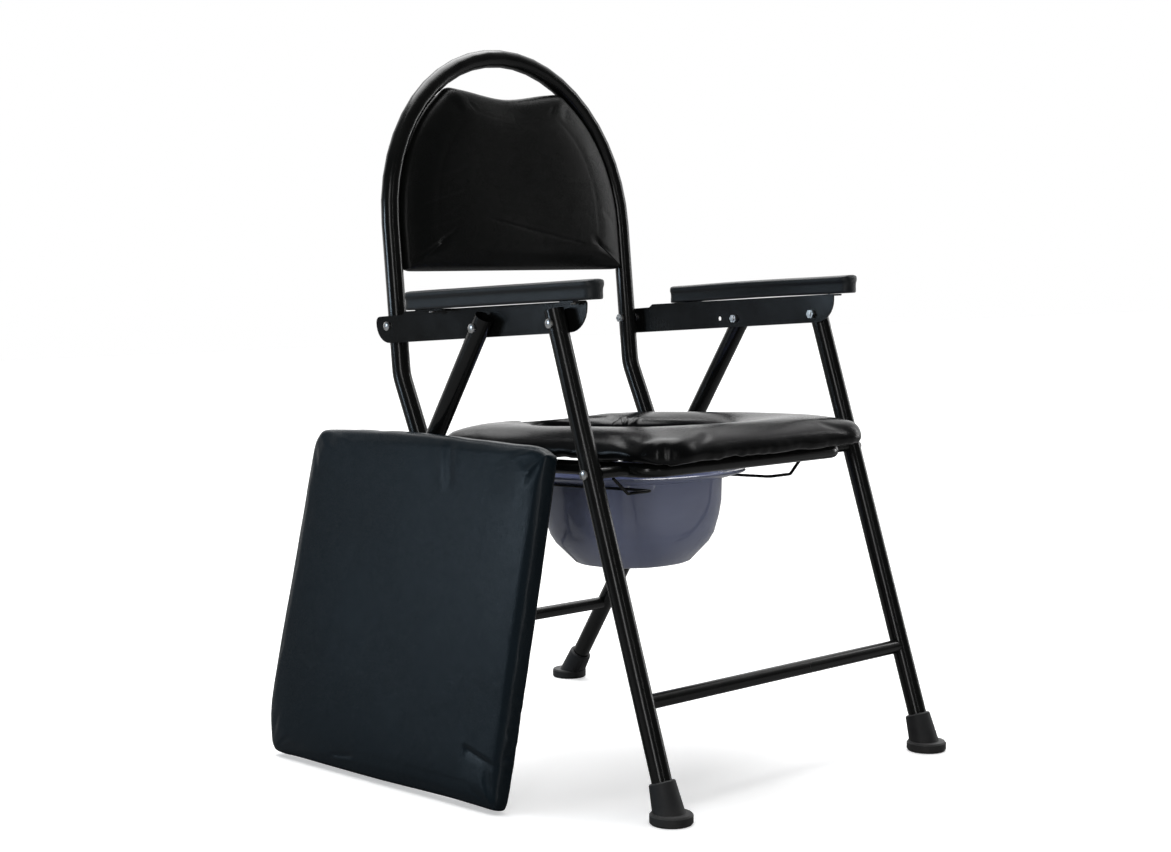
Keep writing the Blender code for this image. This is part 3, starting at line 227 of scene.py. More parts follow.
def pan_plastic():
    """Glossy blue-grey polypropylene: slight depth, flow marks and fine scratches."""
    g = Graph("blue_grey_plastic")
    flow = g.noise(1.0, 3.0, vector=g.stretched((7.0, 7.0, 22.0)), rough=0.5, distortion=0.6)
    fine = g.noise(700.0, 2.0)
    scratch = g.noise(1.0, 5.0, vector=g.stretched((900.0, 60.0, 240.0)), rough=0.6)
    scratch = g.remap(scratch, 0.64, 0.72, 0.0, 1.0)
    colour = g.mix(g.remap(flow, 0.3, 0.7, 0.0, 1.0), grey(0.330, 0.366, 0.535), grey(0.380, 0.416, 0.600))
    rough = g.math("ADD", g.remap(flow, 0.3, 0.7, 0.10, 0.17), g.math("MULTIPLY", scratch, 0.12))
    normal = g.bump(flow, 0.0006, 0.12)
    normal = g.bump(fine, 0.00005, 0.16, normal)
    return g.finish(Base_Color=colour, Roughness=rough, Normal=normal, Subsurface_Weight=0.12,
                    Subsurface_Radius=(0.004, 0.005, 0.007), Coat_Weight=0.45, Coat_Roughness=0.05)


STEEL = powder_coat()
ZINC = zinc()
RUBBER = rubber()
FOAM = moulded_foam()
SEAT_VINYL = leatherette("black_seat_vinyl", grey(0.0040, 0.0043, 0.0046), grey(0.0075, 0.0079, 0.0083),
                         scale=820.0, gloss=0.16, relief=0.13, specular=0.20)
BACK_VINYL = leatherette("black_back_vinyl", grey(0.0060, 0.0065, 0.0062), grey(0.0092, 0.0099, 0.0094),
                         scale=900.0, gloss=0.27, relief=0.22, specular=0.16)
COVER_VINYL = leatherette("navy_cover_vinyl", grey(0.0075, 0.0132, 0.0180), grey(0.0120, 0.0200, 0.0265),
                          scale=760.0, gloss=0.23, relief=0.27, specular=0.16)
HARDBOARD = hardboard()
PLASTIC = pan_plastic()


# ---- CAD nodes that stay: finish and smooth shading --------------------------------------------------
CREASE_ANGLE = math.radians(34.0)
WELD_DISTANCE = 0.00001


def smoothing_group():
    """Modifier that joins the split corners and keeps only the crisp edges sharp."""
    tree = bpy.data.node_groups.new("smooth_by_crease", "GeometryNodeTree")
    tree.interface.new_socket("Geometry", in_out="INPUT", socket_type="NodeSocketGeometry")
    tree.interface.new_socket("Geometry", in_out="OUTPUT", socket_type="NodeSocketGeometry")
    way_in = tree.nodes.new("NodeGroupInput")
    weld = tree.nodes.new("GeometryNodeMergeByDistance")
    weld.inputs["Distance"].default_value = WELD_DISTANCE
    faces = tree.nodes.new("GeometryNodeSetShadeSmooth")
    faces.domain = "FACE"
    edges = tree.nodes.new("GeometryNodeSetShadeSmooth")
    edges.domain = "EDGE"
    angle = tree.nodes.new("GeometryNodeInputMeshEdgeAngle")
    soft = tree.nodes.new("FunctionNodeCompare")
    soft.data_type = "FLOAT"
    soft.operation = "LESS_THAN"
    soft.inputs[1].default_value = CREASE_ANGLE
    way_out = tree.nodes.new("NodeGroupOutput")
    tree.links.new(way_in.outputs[0], weld.inputs["Geometry"])
    tree.links.new(weld.outputs[0], faces.inputs["Geometry"])
    tree.links.new(faces.outputs[0], edges.inputs["Geometry"])
    tree.links.new(angle.outputs["Unsigned Angle"], soft.inputs[0])
    tree.links.new(soft.outputs[0], edges.inputs["Shade Smooth"])
    tree.links.new(edges.outputs[0], way_out.inputs[0])
    return tree


SMOOTHING = smoothing_group()


def finish_for(name):
    """Material of a CAD node, from what the node is."""
    if "foot" in name:
        return RUBBER
    if "pin" in name or "bolt" in name or "nut" in name or "screw" in name or name.startswith("back_spacer"):
        return ZINC
    if "board" in name:
        return HARDBOARD
    if name == "pan":
        return PLASTIC
    if name.startswith("arm_pad_"):
        return FOAM
    if name == "cover_cushion":
        return COVER_VINYL
    if name in ("seat_cushion", "backrest_pad"):
        return SEAT_VINYL
    return STEEL


for node_name, node_object in NODES.items():
    mesh = node_object.data
    if "custom_normal" in mesh.attributes:
        mesh.attributes.remove(mesh.attributes["custom_normal"])
    mesh.materials.clear()
    mesh.materials.append(finish_for(node_name))
    smooth = node_object.modifiers.new("smooth", "NODES")
    smooth.node_group = SMOOTHING


# ---- helpers for soft pieces -------------------------------------------------------------------------
SPLINE_STEPS = 12
DENSE_POINTS = 3000


def make_object(name, verts, faces, finish):
    """Smooth-shaded object with outward normals, linked to the scene."""
    mesh = bpy.data.meshes.new(name)
    mesh.from_pydata([tuple(v) for v in verts], [], faces)
    work = bmesh.new()
    work.from_mesh(mesh)
    bmesh.ops.recalc_face_normals(work, faces=work.faces)
    work.to_mesh(mesh)
    work.free()
    mesh.materials.append(finish)
    mesh.shade_smooth()
    made = bpy.data.objects.new(name, mesh)
    SCENE.collection.objects.link(made)
    return made


def grid_faces(rows, columns, wrap_rows, wrap_columns):
    """Quads of a grid of points stored row by row, closed up in either direction when wanted."""
    faces = []
    for r in range(rows if wrap_rows else rows - 1):
        for c in range(columns if wrap_columns else columns - 1):
            a = r * columns + c
            b = r * columns + (c + 1) % columns
            d = ((r + 1) % rows) * columns + c
            e = ((r + 1) % rows) * columns + (c + 1) % columns
            faces.append((a, b, e, d))
    return faces


def curve_through(stations, count, closed):
    """Evenly spread points on a smooth curve through the stations."""
    points = [np.array(p, float) for p in stations]
    total = len(points)
    spans = total if closed else total - 1
    dense = []
    for i in range(spans):
        if closed:
            p0, p1, p2, p3 = (points[(i + k) % total] for k in (-1, 0, 1, 2))
        else:
            p0, p1, p2, p3 = (points[min(max(i + k, 0), total - 1)] for k in (-1, 0, 1, 2))
        for step in range(SPLINE_STEPS):
            t = step / SPLINE_STEPS
            dense.append(0.5 * (2 * p1 + (p2 - p0) * t + (2 * p0 - 5 * p1 + 4 * p2 - p3) * t ** 2
                                + (3 * p1 - p0 - 3 * p2 + p3) * t ** 3))
    dense.append(points[0] if closed else points[-1])
    dense = np.array(dense)
    lengths = np.concatenate([[0.0], np.cumsum(np.linalg.norm(np.diff(dense, axis=0), axis=1))])
    marks = np.linspace(0.0, lengths[-1], count + 1 if closed else count)
    if closed:
        marks = marks[:-1]
    return np.stack([np.interp(marks, lengths, dense[:, k]) for k in range(dense.shape[1])], axis=1)


def coordinates(made):
    """Vertex places of an object as rows of an array."""
    values = np.empty(len(made.data.vertices) * 3)
    made.data.vertices.foreach_get("co", values)
    return values.reshape(-1, 3)


def set_coordinates(made, values):
    """Move the vertices of an object to the given places."""
    made.data.vertices.foreach_set("co", values.astype(np.float32).ravel())
    made.data.update()


def vertex_normals(made):
    """Vertex normals of an object as rows of an array."""
    values = np.empty(len(made.data.vertices) * 3)
    made.data.vertices.foreach_get("normal", values)
    return values.reshape(-1, 3)


CLOTH_FRAMES = 20
CLOTH_QUALITY = 6
CLOTH_MASS = 0.25
CLOTH_STIFFNESS = 18.0
CLOTH_BENDING = 0.6


def inflate(made, held, pressure, cap):
    """Blow the cover up against its held hem and keep the result, never further than the cap."""
    before = coordinates(made)
    group = made.vertex_groups.new(name="held")
    group.add([int(i) for i in np.nonzero(held)[0]], 1.0, "REPLACE")
    cloth = made.modifiers.new("cloth", "CLOTH")
    settings = cloth.settings
    settings.quality = CLOTH_QUALITY
    settings.mass = CLOTH_MASS
    settings.tension_stiffness = CLOTH_STIFFNESS
    settings.compression_stiffness = CLOTH_STIFFNESS
    settings.shear_stiffness = CLOTH_STIFFNESS / 3.0
    settings.bending_stiffness = CLOTH_BENDING
    settings.use_pressure = True
    settings.uniform_pressure_force = pressure
    settings.vertex_group_mass = "held"
    settings.effector_weights.gravity = 0.0
    cloth.point_cache.frame_start = 1
    cloth.point_cache.frame_end = CLOTH_FRAMES
    for step in range(1, CLOTH_FRAMES + 1):
        SCENE.frame_set(step)
    graph = bpy.context.evaluated_depsgraph_get()
    shown = made.evaluated_get(graph)
    after = np.empty(len(before) * 3)
    shown.data.vertices.foreach_get("co", after)
    moved = after.reshape(-1, 3) - before
    size = np.linalg.norm(moved, axis=1, keepdims=True)
    moved *= np.minimum(1.0, cap / np.maximum(size, 1e-9))
    made.modifiers.remove(cloth)
    made.vertex_groups.remove(group)
    SCENE.frame_set(1)
    set_coordinates(made, before + moved)


def subdivide(made, levels):
    """Replace the object's mesh by its smoothly subdivided one."""
    step = made.modifiers.new("finer", "SUBSURF")
    step.levels = levels
    step.render_levels = levels
    graph = bpy.context.evaluated_depsgraph_get()
    finer = bpy.data.meshes.new_from_object(made.evaluated_get(graph))
    old = made.data
    made.modifiers.clear()
    made.data = finer
    finer.name = old.name
    bpy.data.meshes.remove(old)
    finer.shade_smooth()


def bell(value, width):
    """Smooth bump of height 1 at zero."""
    return np.exp(-(value / width) ** 2)


def line_bell(points, start, end, width, fade):
    """Height 1 along a segment, falling off sideways over the width and at the ends over the fade."""
    start = np.array(start, float)
    end = np.array(end, float)
    run = end - start
    length = np.linalg.norm(run)
    unit = run / length
    along = (points - start) @ unit
    across = (points - start) @ np.array((-unit[1], unit[0]))
    past = np.maximum(np.maximum(-along, along - length), 0.0)
    return bell(across, width) * bell(past, fade), along / length, across


def crease(points, start, end, width, depth, fade):
    """A pulled fold: a small ridge with a sharper valley beside it."""
    body, along, across = line_bell(points, start, end, width, fade)
    beside, _, _ = line_bell(points, start, end, width * 2.2, fade)
    ridge = bell(across - width * 1.5, width) * beside
    return depth * (0.65 * ridge - body)


def wavy(points, scale, seed):
    """Smooth random waves from about -1 to 1 at each point, with features of about 1 / scale metres."""
    draw = np.random.default_rng(int(seed * 10))
    total = np.zeros(len(points))
    waves = 14
    for _ in range(waves):
        heading = draw.normal(size=3)
        heading /= np.linalg.norm(heading)
        pace = scale * 2.0 * math.pi * draw.uniform(0.35, 0.85)
        total += np.sin(points @ heading * pace + draw.uniform(0.0, 2.0 * math.pi))
    return total / math.sqrt(waves)


def four_sided(outline, corners, long_count, short_count):
    """Resample a closed outline so that its four sides between the given corners have fixed counts."""
    marks = [int(np.argmin(np.linalg.norm(outline - np.array(corner), axis=1))) for corner in corners]
    sides = []
    for k, start in enumerate(marks):
        stop = marks[(k + 1) % 4]
        if stop <= start:
            stop += len(outline)
        run = outline[np.arange(start, stop + 1) % len(outline)]
        lengths = np.concatenate([[0.0], np.cumsum(np.linalg.norm(np.diff(run, axis=0), axis=1))])
        count = long_count if k % 2 == 0 else short_count
        places = np.linspace(0.0, lengths[-1], count + 1)[:-1]
        sides.append(np.stack([np.interp(places, lengths, run[:, axis]) for axis in (0, 1)], axis=1))
    return np.concatenate(sides)


SIDE_LEVELS = 18
TIGHT_INSET = 0.0045
HELD_RINGS = 3


def padded_board(name, outline, counts, side, crown, place, finish):
    """Closed pad over a board: a side section round the outline, and a four-sided net on both faces.

    The side is a list of (inset, depth) from the flat rear face to the front face's rim. The first part
    of an inset is square to the outline, and what goes past TIGHT_INSET draws toward the middle. Returns
    the pad and a mask of the points that stay on the board."""
    long_count, short_count = counts
    steps = len(outline)
    ahead = np.roll(outline, -1, axis=0) - np.roll(outline, 1, axis=0)
    square = np.stack([-ahead[:, 1], ahead[:, 0]], axis=1)
    square /= np.linalg.norm(square, axis=1, keepdims=True)
    square *= np.sign(np.sum(square * (outline.mean(axis=0) - outline), axis=1, keepdims=True))
    section = curve_through(side, SIDE_LEVELS, False)
    middle = outline.mean(axis=0)
    reach = np.min(np.linalg.norm(outline - middle, axis=1))
    rings = []
    for inset, _depth in section:
        ring = outline + square * min(inset, TIGHT_INSET)
        rings.append(ring + (middle - ring) * max(inset - TIGHT_INSET, 0.0) / reach)
    verts = []
    for ring, depth in zip(rings, section[:, 1]):
        verts += [place(a, b, depth) for a, b in ring]
    faces = grid_faces(len(rings), steps, False, True)

    def net(ring, start, depth, swell):
        low = [start + i for i in range(long_count + 1)]
        right = [start + long_count + i for i in range(short_count + 1)]
        high = [start + long_count + short_count + i for i in range(long_count + 1)][::-1]
        left = [start + (2 * long_count + short_count + i) % steps for i in range(short_count + 1)][::-1]
        table = [[0] * (short_count + 1) for _ in range(long_count + 1)]
        for i in range(long_count + 1):
            table[i][0] = low[i]
            table[i][short_count] = high[i]
        for j in range(short_count + 1):
            table[0][j] = left[j]
            table[long_count][j] = right[j]
        for i in range(1, long_count):
            u = i / long_count
            for j in range(1, short_count):
                v = j / short_count
                across = (1.0 - v) * ring[low[i] - start] + v * ring[high[i] - start]
                upward = (1.0 - u) * ring[left[j] - start] + u * ring[right[j] - start]
                corner = ((1.0 - u) * ((1.0 - v) * ring[low[0] - start] + v * ring[high[0] - start])
                          + u * ((1.0 - v) * ring[low[-1] - start] + v * ring[high[-1] - start]))
                rise = (1.0 - (1.0 - 4.0 * u * (1.0 - u)) ** 3) * (1.0 - (1.0 - 4.0 * v * (1.0 - v)) ** 3)
                table[i][j] = len(verts)
                verts.append(place(*(across + upward - corner), depth + swell * rise))
        for i in range(long_count):
            for j in range(short_count):
                faces.append((table[i][j], table[i + 1][j], table[i + 1][j + 1], table[i][j + 1]))

    net(rings[0], 0, section[0][1], 0.0)
    rear_net_end = len(verts)
    net(rings[-1], (len(rings) - 1) * steps, section[-1][1], crown - section[-1][1])
    made = make_object(name, verts, faces, finish)
    pins = np.zeros(len(verts), bool)
    pins[:steps * HELD_RINGS] = True
    pins[len(rings) * steps:rear_net_end] = True
    return made, pins


# ---- seat ring: lengths in metres, S along the seat from its front pivot -----------------------------
SEAT_LOW, SEAT_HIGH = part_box("seat_cushion")
RING_CENTRE_S = 0.1700
PAD_HALF_WIDTH = (SEAT_HIGH.x - SEAT_LOW.x) / 2.0
PAD_FRONT_S = -0.0740
PAD_REAR_S = 0.3340
PAD_CORNER_R = 0.0420
OPENING_S = 0.1560
OPENING_HALF_WIDTH = 0.1080
OPENING_HALF_LENGTH = 0.1250
THROAT_S = 0.2640
THROAT_R = 0.0600
PAD_BOTTOM = 0.0125
BOARD_TOP = 0.0183
HEM_BAND = 0.0065
FULL_SECTION_WIDTH = 0.0400
RING_STEPS = 220
SECTION_STEPS = 46
NECK = (0.0600, 0.2400)
NECK_FOLDS = ((0.030, 0.004, 0.0026), (0.022, 0.016, 0.0015), (0.018, -0.012, 0.0012))
CORNERS = ((-0.176, -0.056, 0.55), (0.176, -0.056, 0.35), (-0.176, 0.316, 0.4), (0.176, 0.316, 0.4))
CORNER_PLEATS = ((-0.42, 0.0016), (-0.12, 0.0024), (0.16, 0.0020), (0.44, 0.0014))


def seat_world(local):
    """Point of the frame from x across, s along the seat and w above its pivots."""
    x, s, w = local
    return SEAT_ORIGIN + Vector((x, 0.0, 0.0)) + SEAT_ALONG * s + SEAT_UP * w


def seat_local(points):
    """The same three seat coordinates for an array of points of the frame."""
    offset = points - np.array(SEAT_ORIGIN)
    return np.stack([offset[:, 0], offset @ np.array(SEAT_ALONG), offset @ np.array(SEAT_UP)], axis=1)


def pad_edge(angle, inset):
    """Outer edge of the seat in the direction of the angle: a rectangle with round corners."""
    half_x = PAD_HALF_WIDTH - inset
    low = PAD_FRONT_S + inset - RING_CENTRE_S
    high = PAD_REAR_S - inset - RING_CENTRE_S
    radius = PAD_CORNER_R - inset
    dx = math.cos(angle)
    ds = math.sin(angle)
    edge_s = high if ds > 0.0 else low
    reach_x = half_x / abs(dx) if abs(dx) > 1e-9 else math.inf
    reach_s = abs(edge_s / ds) if abs(ds) > 1e-9 else math.inf
    reach = min(reach_x, reach_s)
    cx = math.copysign(half_x - radius, dx)
    cs = edge_s - math.copysign(radius, ds)
    if abs(dx * reach) > abs(cx) and abs(ds * reach) > abs(cs):
        along = dx * cx + ds * cs
        reach = along + math.sqrt(along ** 2 - (cx ** 2 + cs ** 2 - radius ** 2))
    return np.array((dx * reach, RING_CENTRE_S + ds * reach))


def opening_edge(angle, inset):
    """Keyhole opening: a wide oval with a narrower round throat toward the back."""
    dx = math.cos(angle)
    ds = math.sin(angle)
    half_x = OPENING_HALF_WIDTH + inset
    half_s = OPENING_HALF_LENGTH + inset
    offset = RING_CENTRE_S - OPENING_S
    a = (dx / half_x) ** 2 + (ds / half_s) ** 2
    b = ds * offset / half_s ** 2
    c = (offset / half_s) ** 2 - 1.0
    reach = (-b + math.sqrt(b ** 2 - a * c)) / a
    throat = THROAT_R + inset
    away = THROAT_S - RING_CENTRE_S
    under = throat ** 2 - (dx * away) ** 2
    if under > 0.0 and ds > 0.0:
        reach = max(reach, ds * away + math.sqrt(under))
    return np.array((dx * reach, RING_CENTRE_S + ds * reach))


def seat_section(angle):
    """Stations of the ring's section: from the hem, up the outer side, over the crown, into the opening."""
    width = np.linalg.norm(pad_edge(angle, 0.0) - opening_edge(angle, 0.0))
    slim = min(1.0, width / FULL_SECTION_WIDTH)
    outer = {inset: pad_edge(angle, inset * slim) for inset in (0.0, 0.0012, 0.003, 0.008, 0.006, 0.015)}
    inner = {inset: opening_edge(angle, inset * slim) for inset in (0.0, 0.0015, 0.003, 0.008, 0.007, 0.016)}
    crown = 0.0400 + 0.0055 * min(1.0, width / 0.09)
    rows = [
        (*outer[0.008], BOARD_TOP), (*outer[0.008], PAD_BOTTOM), (*outer[0.003], PAD_BOTTOM + 0.0004),
        (*outer[0.0], 0.0180), (*outer[0.0012], 0.0265), (*outer[0.006], 0.0335), (*outer[0.015], 0.0380),
        (*(outer[0.0] * 0.66 + inner[0.0] * 0.34), crown - 0.0014),
        (*(outer[0.0] * 0.42 + inner[0.0] * 0.58), crown),
        (*inner[0.016], 0.0402), (*inner[0.007], 0.0368), (*inner[0.0015], 0.0315), (*inner[0.0], 0.0245),
        (*inner[0.0], 0.0170), (*inner[0.003], PAD_BOTTOM + 0.0004), (*inner[0.008], PAD_BOTTOM),
        (*inner[0.008], BOARD_TOP),
    ]
    return curve_through(rows, SECTION_STEPS, False)


def seat_ring():
    """Padded ring on the seat board, with puckers at the hem, the neck of the opening and the corners."""
    verts = []
    for i in range(RING_STEPS):
        angle = 2.0 * math.pi * (i + 0.5) / RING_STEPS
        verts += [seat_world(p) for p in seat_section(angle)]
    faces = grid_faces(RING_STEPS, SECTION_STEPS, True, False)
    for i in range(RING_STEPS):
        j = (i + 1) % RING_STEPS
        first = i * SECTION_STEPS
        after = j * SECTION_STEPS
        faces.append((first, after, after + SECTION_STEPS - 1, first + SECTION_STEPS - 1))
    made = make_object("seat_ring", verts, faces, SEAT_VINYL)
    place = seat_local(coordinates(made))
    inflate(made, held=place[:, 2] < PAD_BOTTOM + HEM_BAND, pressure=3.0, cap=0.0035)
    subdivide(made, 1)
    values = coordinates(made)
    place = seat_local(values)
    normals = vertex_normals(made)
    x, s, w = place.T
    flat = place[:, :2]
    outer_gap = np.minimum(PAD_HALF_WIDTH - np.abs(x), np.minimum(s - PAD_FRONT_S, PAD_REAR_S - s))
    on_side = np.clip((0.034 - w) / 0.010, 0.0, 1.0) * np.clip((0.03 - outer_gap) / 0.02, 0.0, 1.0)
    low_edge = bell(w - PAD_BOTTOM, 0.008) * np.clip((0.03 - outer_gap) / 0.02, 0.0, 1.0)
    rise = 0.0007 * low_edge * wavy(values, 46.0, 3.1)
    rise += 0.0004 * low_edge * wavy(values, 110.0, 8.3)
    rise += 0.0003 * on_side * wavy(values, 24.0, 5.7)
    rise += 0.0004 * np.clip((w - 0.030) / 0.01, 0.0, 1.0) * wavy(values, 8.0, 1.9)
    upper = np.clip((w - 0.024) / 0.008, 0.0, 1.0)
    for sign in (-1.0, 1.0):
        for dx, ds, depth in NECK_FOLDS:
            start = (sign * NECK[0], NECK[1])
            end = (sign * (NECK[0] + dx), NECK[1] + ds)
            rise += upper * crease(flat, start, end, 0.0032, -depth, 0.006)
    for corner_x, corner_s, size in CORNERS:
        away = np.array((corner_x, corner_s - 0.13))
        away /= np.linalg.norm(away)
        for turn, depth in CORNER_PLEATS:
            heading = np.array((away[0] * math.cos(turn) - away[1] * math.sin(turn),
                                away[0] * math.sin(turn) + away[1] * math.cos(turn)))
            tip = np.array((corner_x, corner_s))
            fold = crease(flat, tip - heading * 0.006, tip + heading * 0.030, 0.0026, depth * size, 0.008)
            rise += fold * np.clip((0.036 - w) / 0.008, 0.0, 1.0)
    values = values + normals * rise[:, None]
    sag = 0.0042 * bell(x + 0.190, 0.045) * bell(s + 0.070, 0.050) * np.clip((0.040 - w) / 0.02, 0.0, 1.0)
    sag += 0.0022 * bell(s + 0.074, 0.030) * np.clip((0.030 - w) / 0.012, 0.0, 1.0)
    values -= np.array(SEAT_UP)[None, :] * sag[:, None]
    set_coordinates(made, values)
    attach(made, "seat")
    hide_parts("seat_cushion")


# ---- backrest pad: lengths in metres, creases as (start, end, width, depth) --------------------------
BACK_LEAN = 0.100
ARCH_BASE_Z = 0.6705
REST_FACE = -0.0045
REST_LOW, REST_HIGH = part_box("backrest_pad")
REST_HALF = (REST_HIGH.x - REST_LOW.x) / 2.0
REST_BOTTOM = REST_LOW.z + 0.0013
FRAME_LOW, FRAME_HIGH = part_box("back_frame")
FRAME_HALF = (FRAME_HIGH.x - FRAME_LOW.x) / 2.0
REST_ARCH_RISE = FRAME_HIGH.z - ARCH_BASE_Z - (FRAME_HALF - REST_HALF) - 0.0005
REST_CORNER_R = 0.0070
REST_SHOULDER_X = 0.1010
REST_SHOULDER_Z = 0.8486
REST_TOP_Z = 0.8600
REST_DIP = 0.0110
REST_CROWN = 0.0262
REST_NET = (74, 62)
REST_SIDE = (
    (0.006, 0.0), (0.0024, 0.0003), (0.0006, 0.0020), (0.0, 0.0050), (0.0006, 0.0095), (0.0030, 0.0150),
    (0.0078, 0.0195), (0.0140, 0.0222), (0.0215, 0.0238), (0.0310, 0.0246),
)
REST_CREASES = (
    ((-0.178, 0.7205), (-0.106, 0.7388), 0.0024, 0.00050),
    ((-0.162, 0.6953), (-0.106, 0.7104), 0.0024, 0.00055),
    ((-0.148, 0.6660), (-0.116, 0.6727), 0.0022, 0.00040),
    ((-0.196, 0.6195), (-0.128, 0.6571), 0.0022, 0.00065),
    ((-0.046, 0.6753), (0.1035, 0.6472), 0.0020, 0.00045),
    ((-0.150, 0.7080), (-0.118, 0.7150), 0.0020, 0.00030),
    ((0.196, 0.6200), (0.150, 0.6420), 0.0022, 0.00035),
    ((-0.135, 0.6800), (-0.112, 0.6900), 0.0020, 0.00030),
)


def back_y(z):
    """Depth of the back frame's tube centres at a height."""
    return BACK_PIVOT.y + BACK_LEAN * (z - BACK_PIVOT.z)


def rest_outline(steps):
    """Outline of the backrest from the middle of its bottom edge round to the left, as (x, z)."""
    half = REST_HALF
    corner = REST_CORNER_R
    points = [(0.0, REST_BOTTOM), (half * 0.5, REST_BOTTOM), (half - corner - 0.02, REST_BOTTOM)]
    for i in range(5):
        angle = -math.pi / 2.0 + math.pi / 2.0 * i / 4.0
        points.append((half - corner + corner * math.cos(angle),
                       REST_BOTTOM + corner + corner * math.sin(angle)))
    last = math.acos(REST_SHOULDER_X / half)
    for i in range(13):
        angle = last * i / 12.0
        points.append((half * math.cos(angle), ARCH_BASE_Z + REST_ARCH_RISE * math.sin(angle)))
    shoulder = points[-1][1]
    for i in range(1, 6):
        share = i / 5.0
        swell = math.sin(math.pi * share / 2.0)
        level = shoulder + (REST_SHOULDER_Z - shoulder) * swell - REST_DIP * swell ** 2
        points.append((REST_SHOULDER_X * (1.0 - share), level))
    mirrored = [(-x, z) for x, z in points[-2:0:-1]]
    return curve_through(points + mirrored, steps, True)


def rest_point(x, z, depth):
    """Point of the frame from x across, height z and depth ahead of the leaning tube centres."""
    return Vector((MIDDLE + x, back_y(z) - depth * math.sqrt(1.0 + BACK_LEAN ** 2), z))


def backrest():
    """Shield-shaped pad on its board, with fine pull creases, most of them at the sitter's right."""
    low_corners = ((-REST_HALF, REST_BOTTOM), (REST_HALF, REST_BOTTOM))
    high_corners = ((REST_SHOULDER_X, REST_TOP_Z), (-REST_SHOULDER_X, REST_TOP_Z))
    outline = four_sided(rest_outline(DENSE_POINTS), low_corners + high_corners, *REST_NET)

    def place(x, z, depth):
        return rest_point(x, z, REST_FACE + depth)

    made, held = padded_board("backrest_cushion", outline, REST_NET, REST_SIDE, REST_CROWN, place, BACK_VINYL)
    inflate(made, held, pressure=0.8, cap=0.0009)
    subdivide(made, 1)
    values = coordinates(made)
    normals = vertex_normals(made)
    flat = np.stack([values[:, 0] - MIDDLE, values[:, 2]], axis=1)
    facing = np.clip((-normals[:, 1] - 0.35) / 0.4, 0.0, 1.0)
    rise = 0.0004 * facing * wavy(values, 8.0, 4.4)
    for start, end, width, depth in REST_CREASES:
        rise += facing * crease(flat, start, end, width, depth, 0.010)
    values = values + normals * rise[:, None]
    set_coordinates(made, values)
    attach(made, "back")
    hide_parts("backrest_pad")


# ---- arm pads ----------------------------------------------------------------------------------------
ARM_SLOPE = -0.0575
ARM_TOE = {"right": 0.026, "left": -0.026}
ARM_ARCH = {"right": 0.0009, "left": 0.0002}
ARM_END_REACH = 0.0150
ARM_END_POWER = 2.6
ARM_STATIONS = 96
ARM_SECTION_STEPS = 34
ARM_FOOT = 0.0040
ARM_HALF_SECTION = (
    (0.0, 0.0), (0.0110, 0.0), (0.0134, 0.0012), (0.0137, 0.0040), (0.0133, 0.0085), (0.0137, 0.0130),
    (0.0152, 0.0150), (0.0158, 0.0166), (0.0158, 0.0190), (0.0148, 0.0212), (0.0120, 0.0223),
    (0.0060, 0.0231), (0.0, 0.0233),
)


def arm_pad(side):
    """Moulded pad: narrow body, lipped edge and a softly crowned top, round at both ends."""
    node = NODES["arm_pad_" + side]
    points = np.array([v.co for v in node.data.vertices], float)
    toe = ARM_TOE[side]
    rear_y = points[:, 1].max()
    front_y = points[:, 1].min()
    middle_y = (rear_y + front_y) / 2.0
    centre_x = (points[:, 0].min() + points[:, 0].max()) / 2.0
    low = points[np.abs(points[:, 1] - rear_y) < 0.0005][:, 2].min()
    half_length = (rear_y - front_y) / 2.0
    right = curve_through(ARM_HALF_SECTION, ARM_SECTION_STEPS, False)
    section = np.concatenate([right, right[-2:0:-1] * np.array((-1.0, 1.0))])
    columns = len(section)
    verts = []
    for k in range(ARM_STATIONS):
        phase = math.pi * k / (ARM_STATIONS - 1)
        share = (1.0 - math.cos(phase)) / 2.0
        y = rear_y - 2.0 * half_length * share
        from_end = min(share, 1.0 - share) * 2.0 * half_length
        narrow = 1.0
        if from_end < ARM_END_REACH:
            cut = (ARM_END_REACH - from_end) / ARM_END_REACH
            narrow = (1.0 - cut ** ARM_END_POWER) ** (1.0 / ARM_END_POWER)
        narrow = max(narrow, 0.02)
        base = low + ARM_SLOPE * (y - rear_y) + ARM_ARCH[side] * math.sin(math.pi * share) ** 2
        squeeze = 0.60 + 0.40 * min(1.0, narrow * 1.35)
        for across, up in section:
            height = up if up < ARM_FOOT else ARM_FOOT + (up - ARM_FOOT) * squeeze
            verts.append((centre_x + toe * (y - middle_y) + across * narrow, y, base + height))
    faces = grid_faces(ARM_STATIONS, columns, False, True)
    for start in (0, (ARM_STATIONS - 1) * columns):
        for i in range(1, columns // 2):
            lower = (start + i, start + i + 1, start + columns - i - 1, start + columns - i)
            faces.append(tuple(dict.fromkeys(lower)))
        faces.append((start, start + 1, start + columns - 1))
    made = make_object("arm_rest_" + side, verts, faces, FOAM)
    values = coordinates(made)
    normals = vertex_normals(made)
    top = np.clip((normals[:, 2] - 0.3) / 0.5, 0.0, 1.0)
    rise = 0.0002 * top * wavy(values, 12.0, 2.2)
    set_coordinates(made, values + normals * rise[:, None])
    subdivide(made, 1)
    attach(made, "arms")
    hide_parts("arm_pad_" + side)


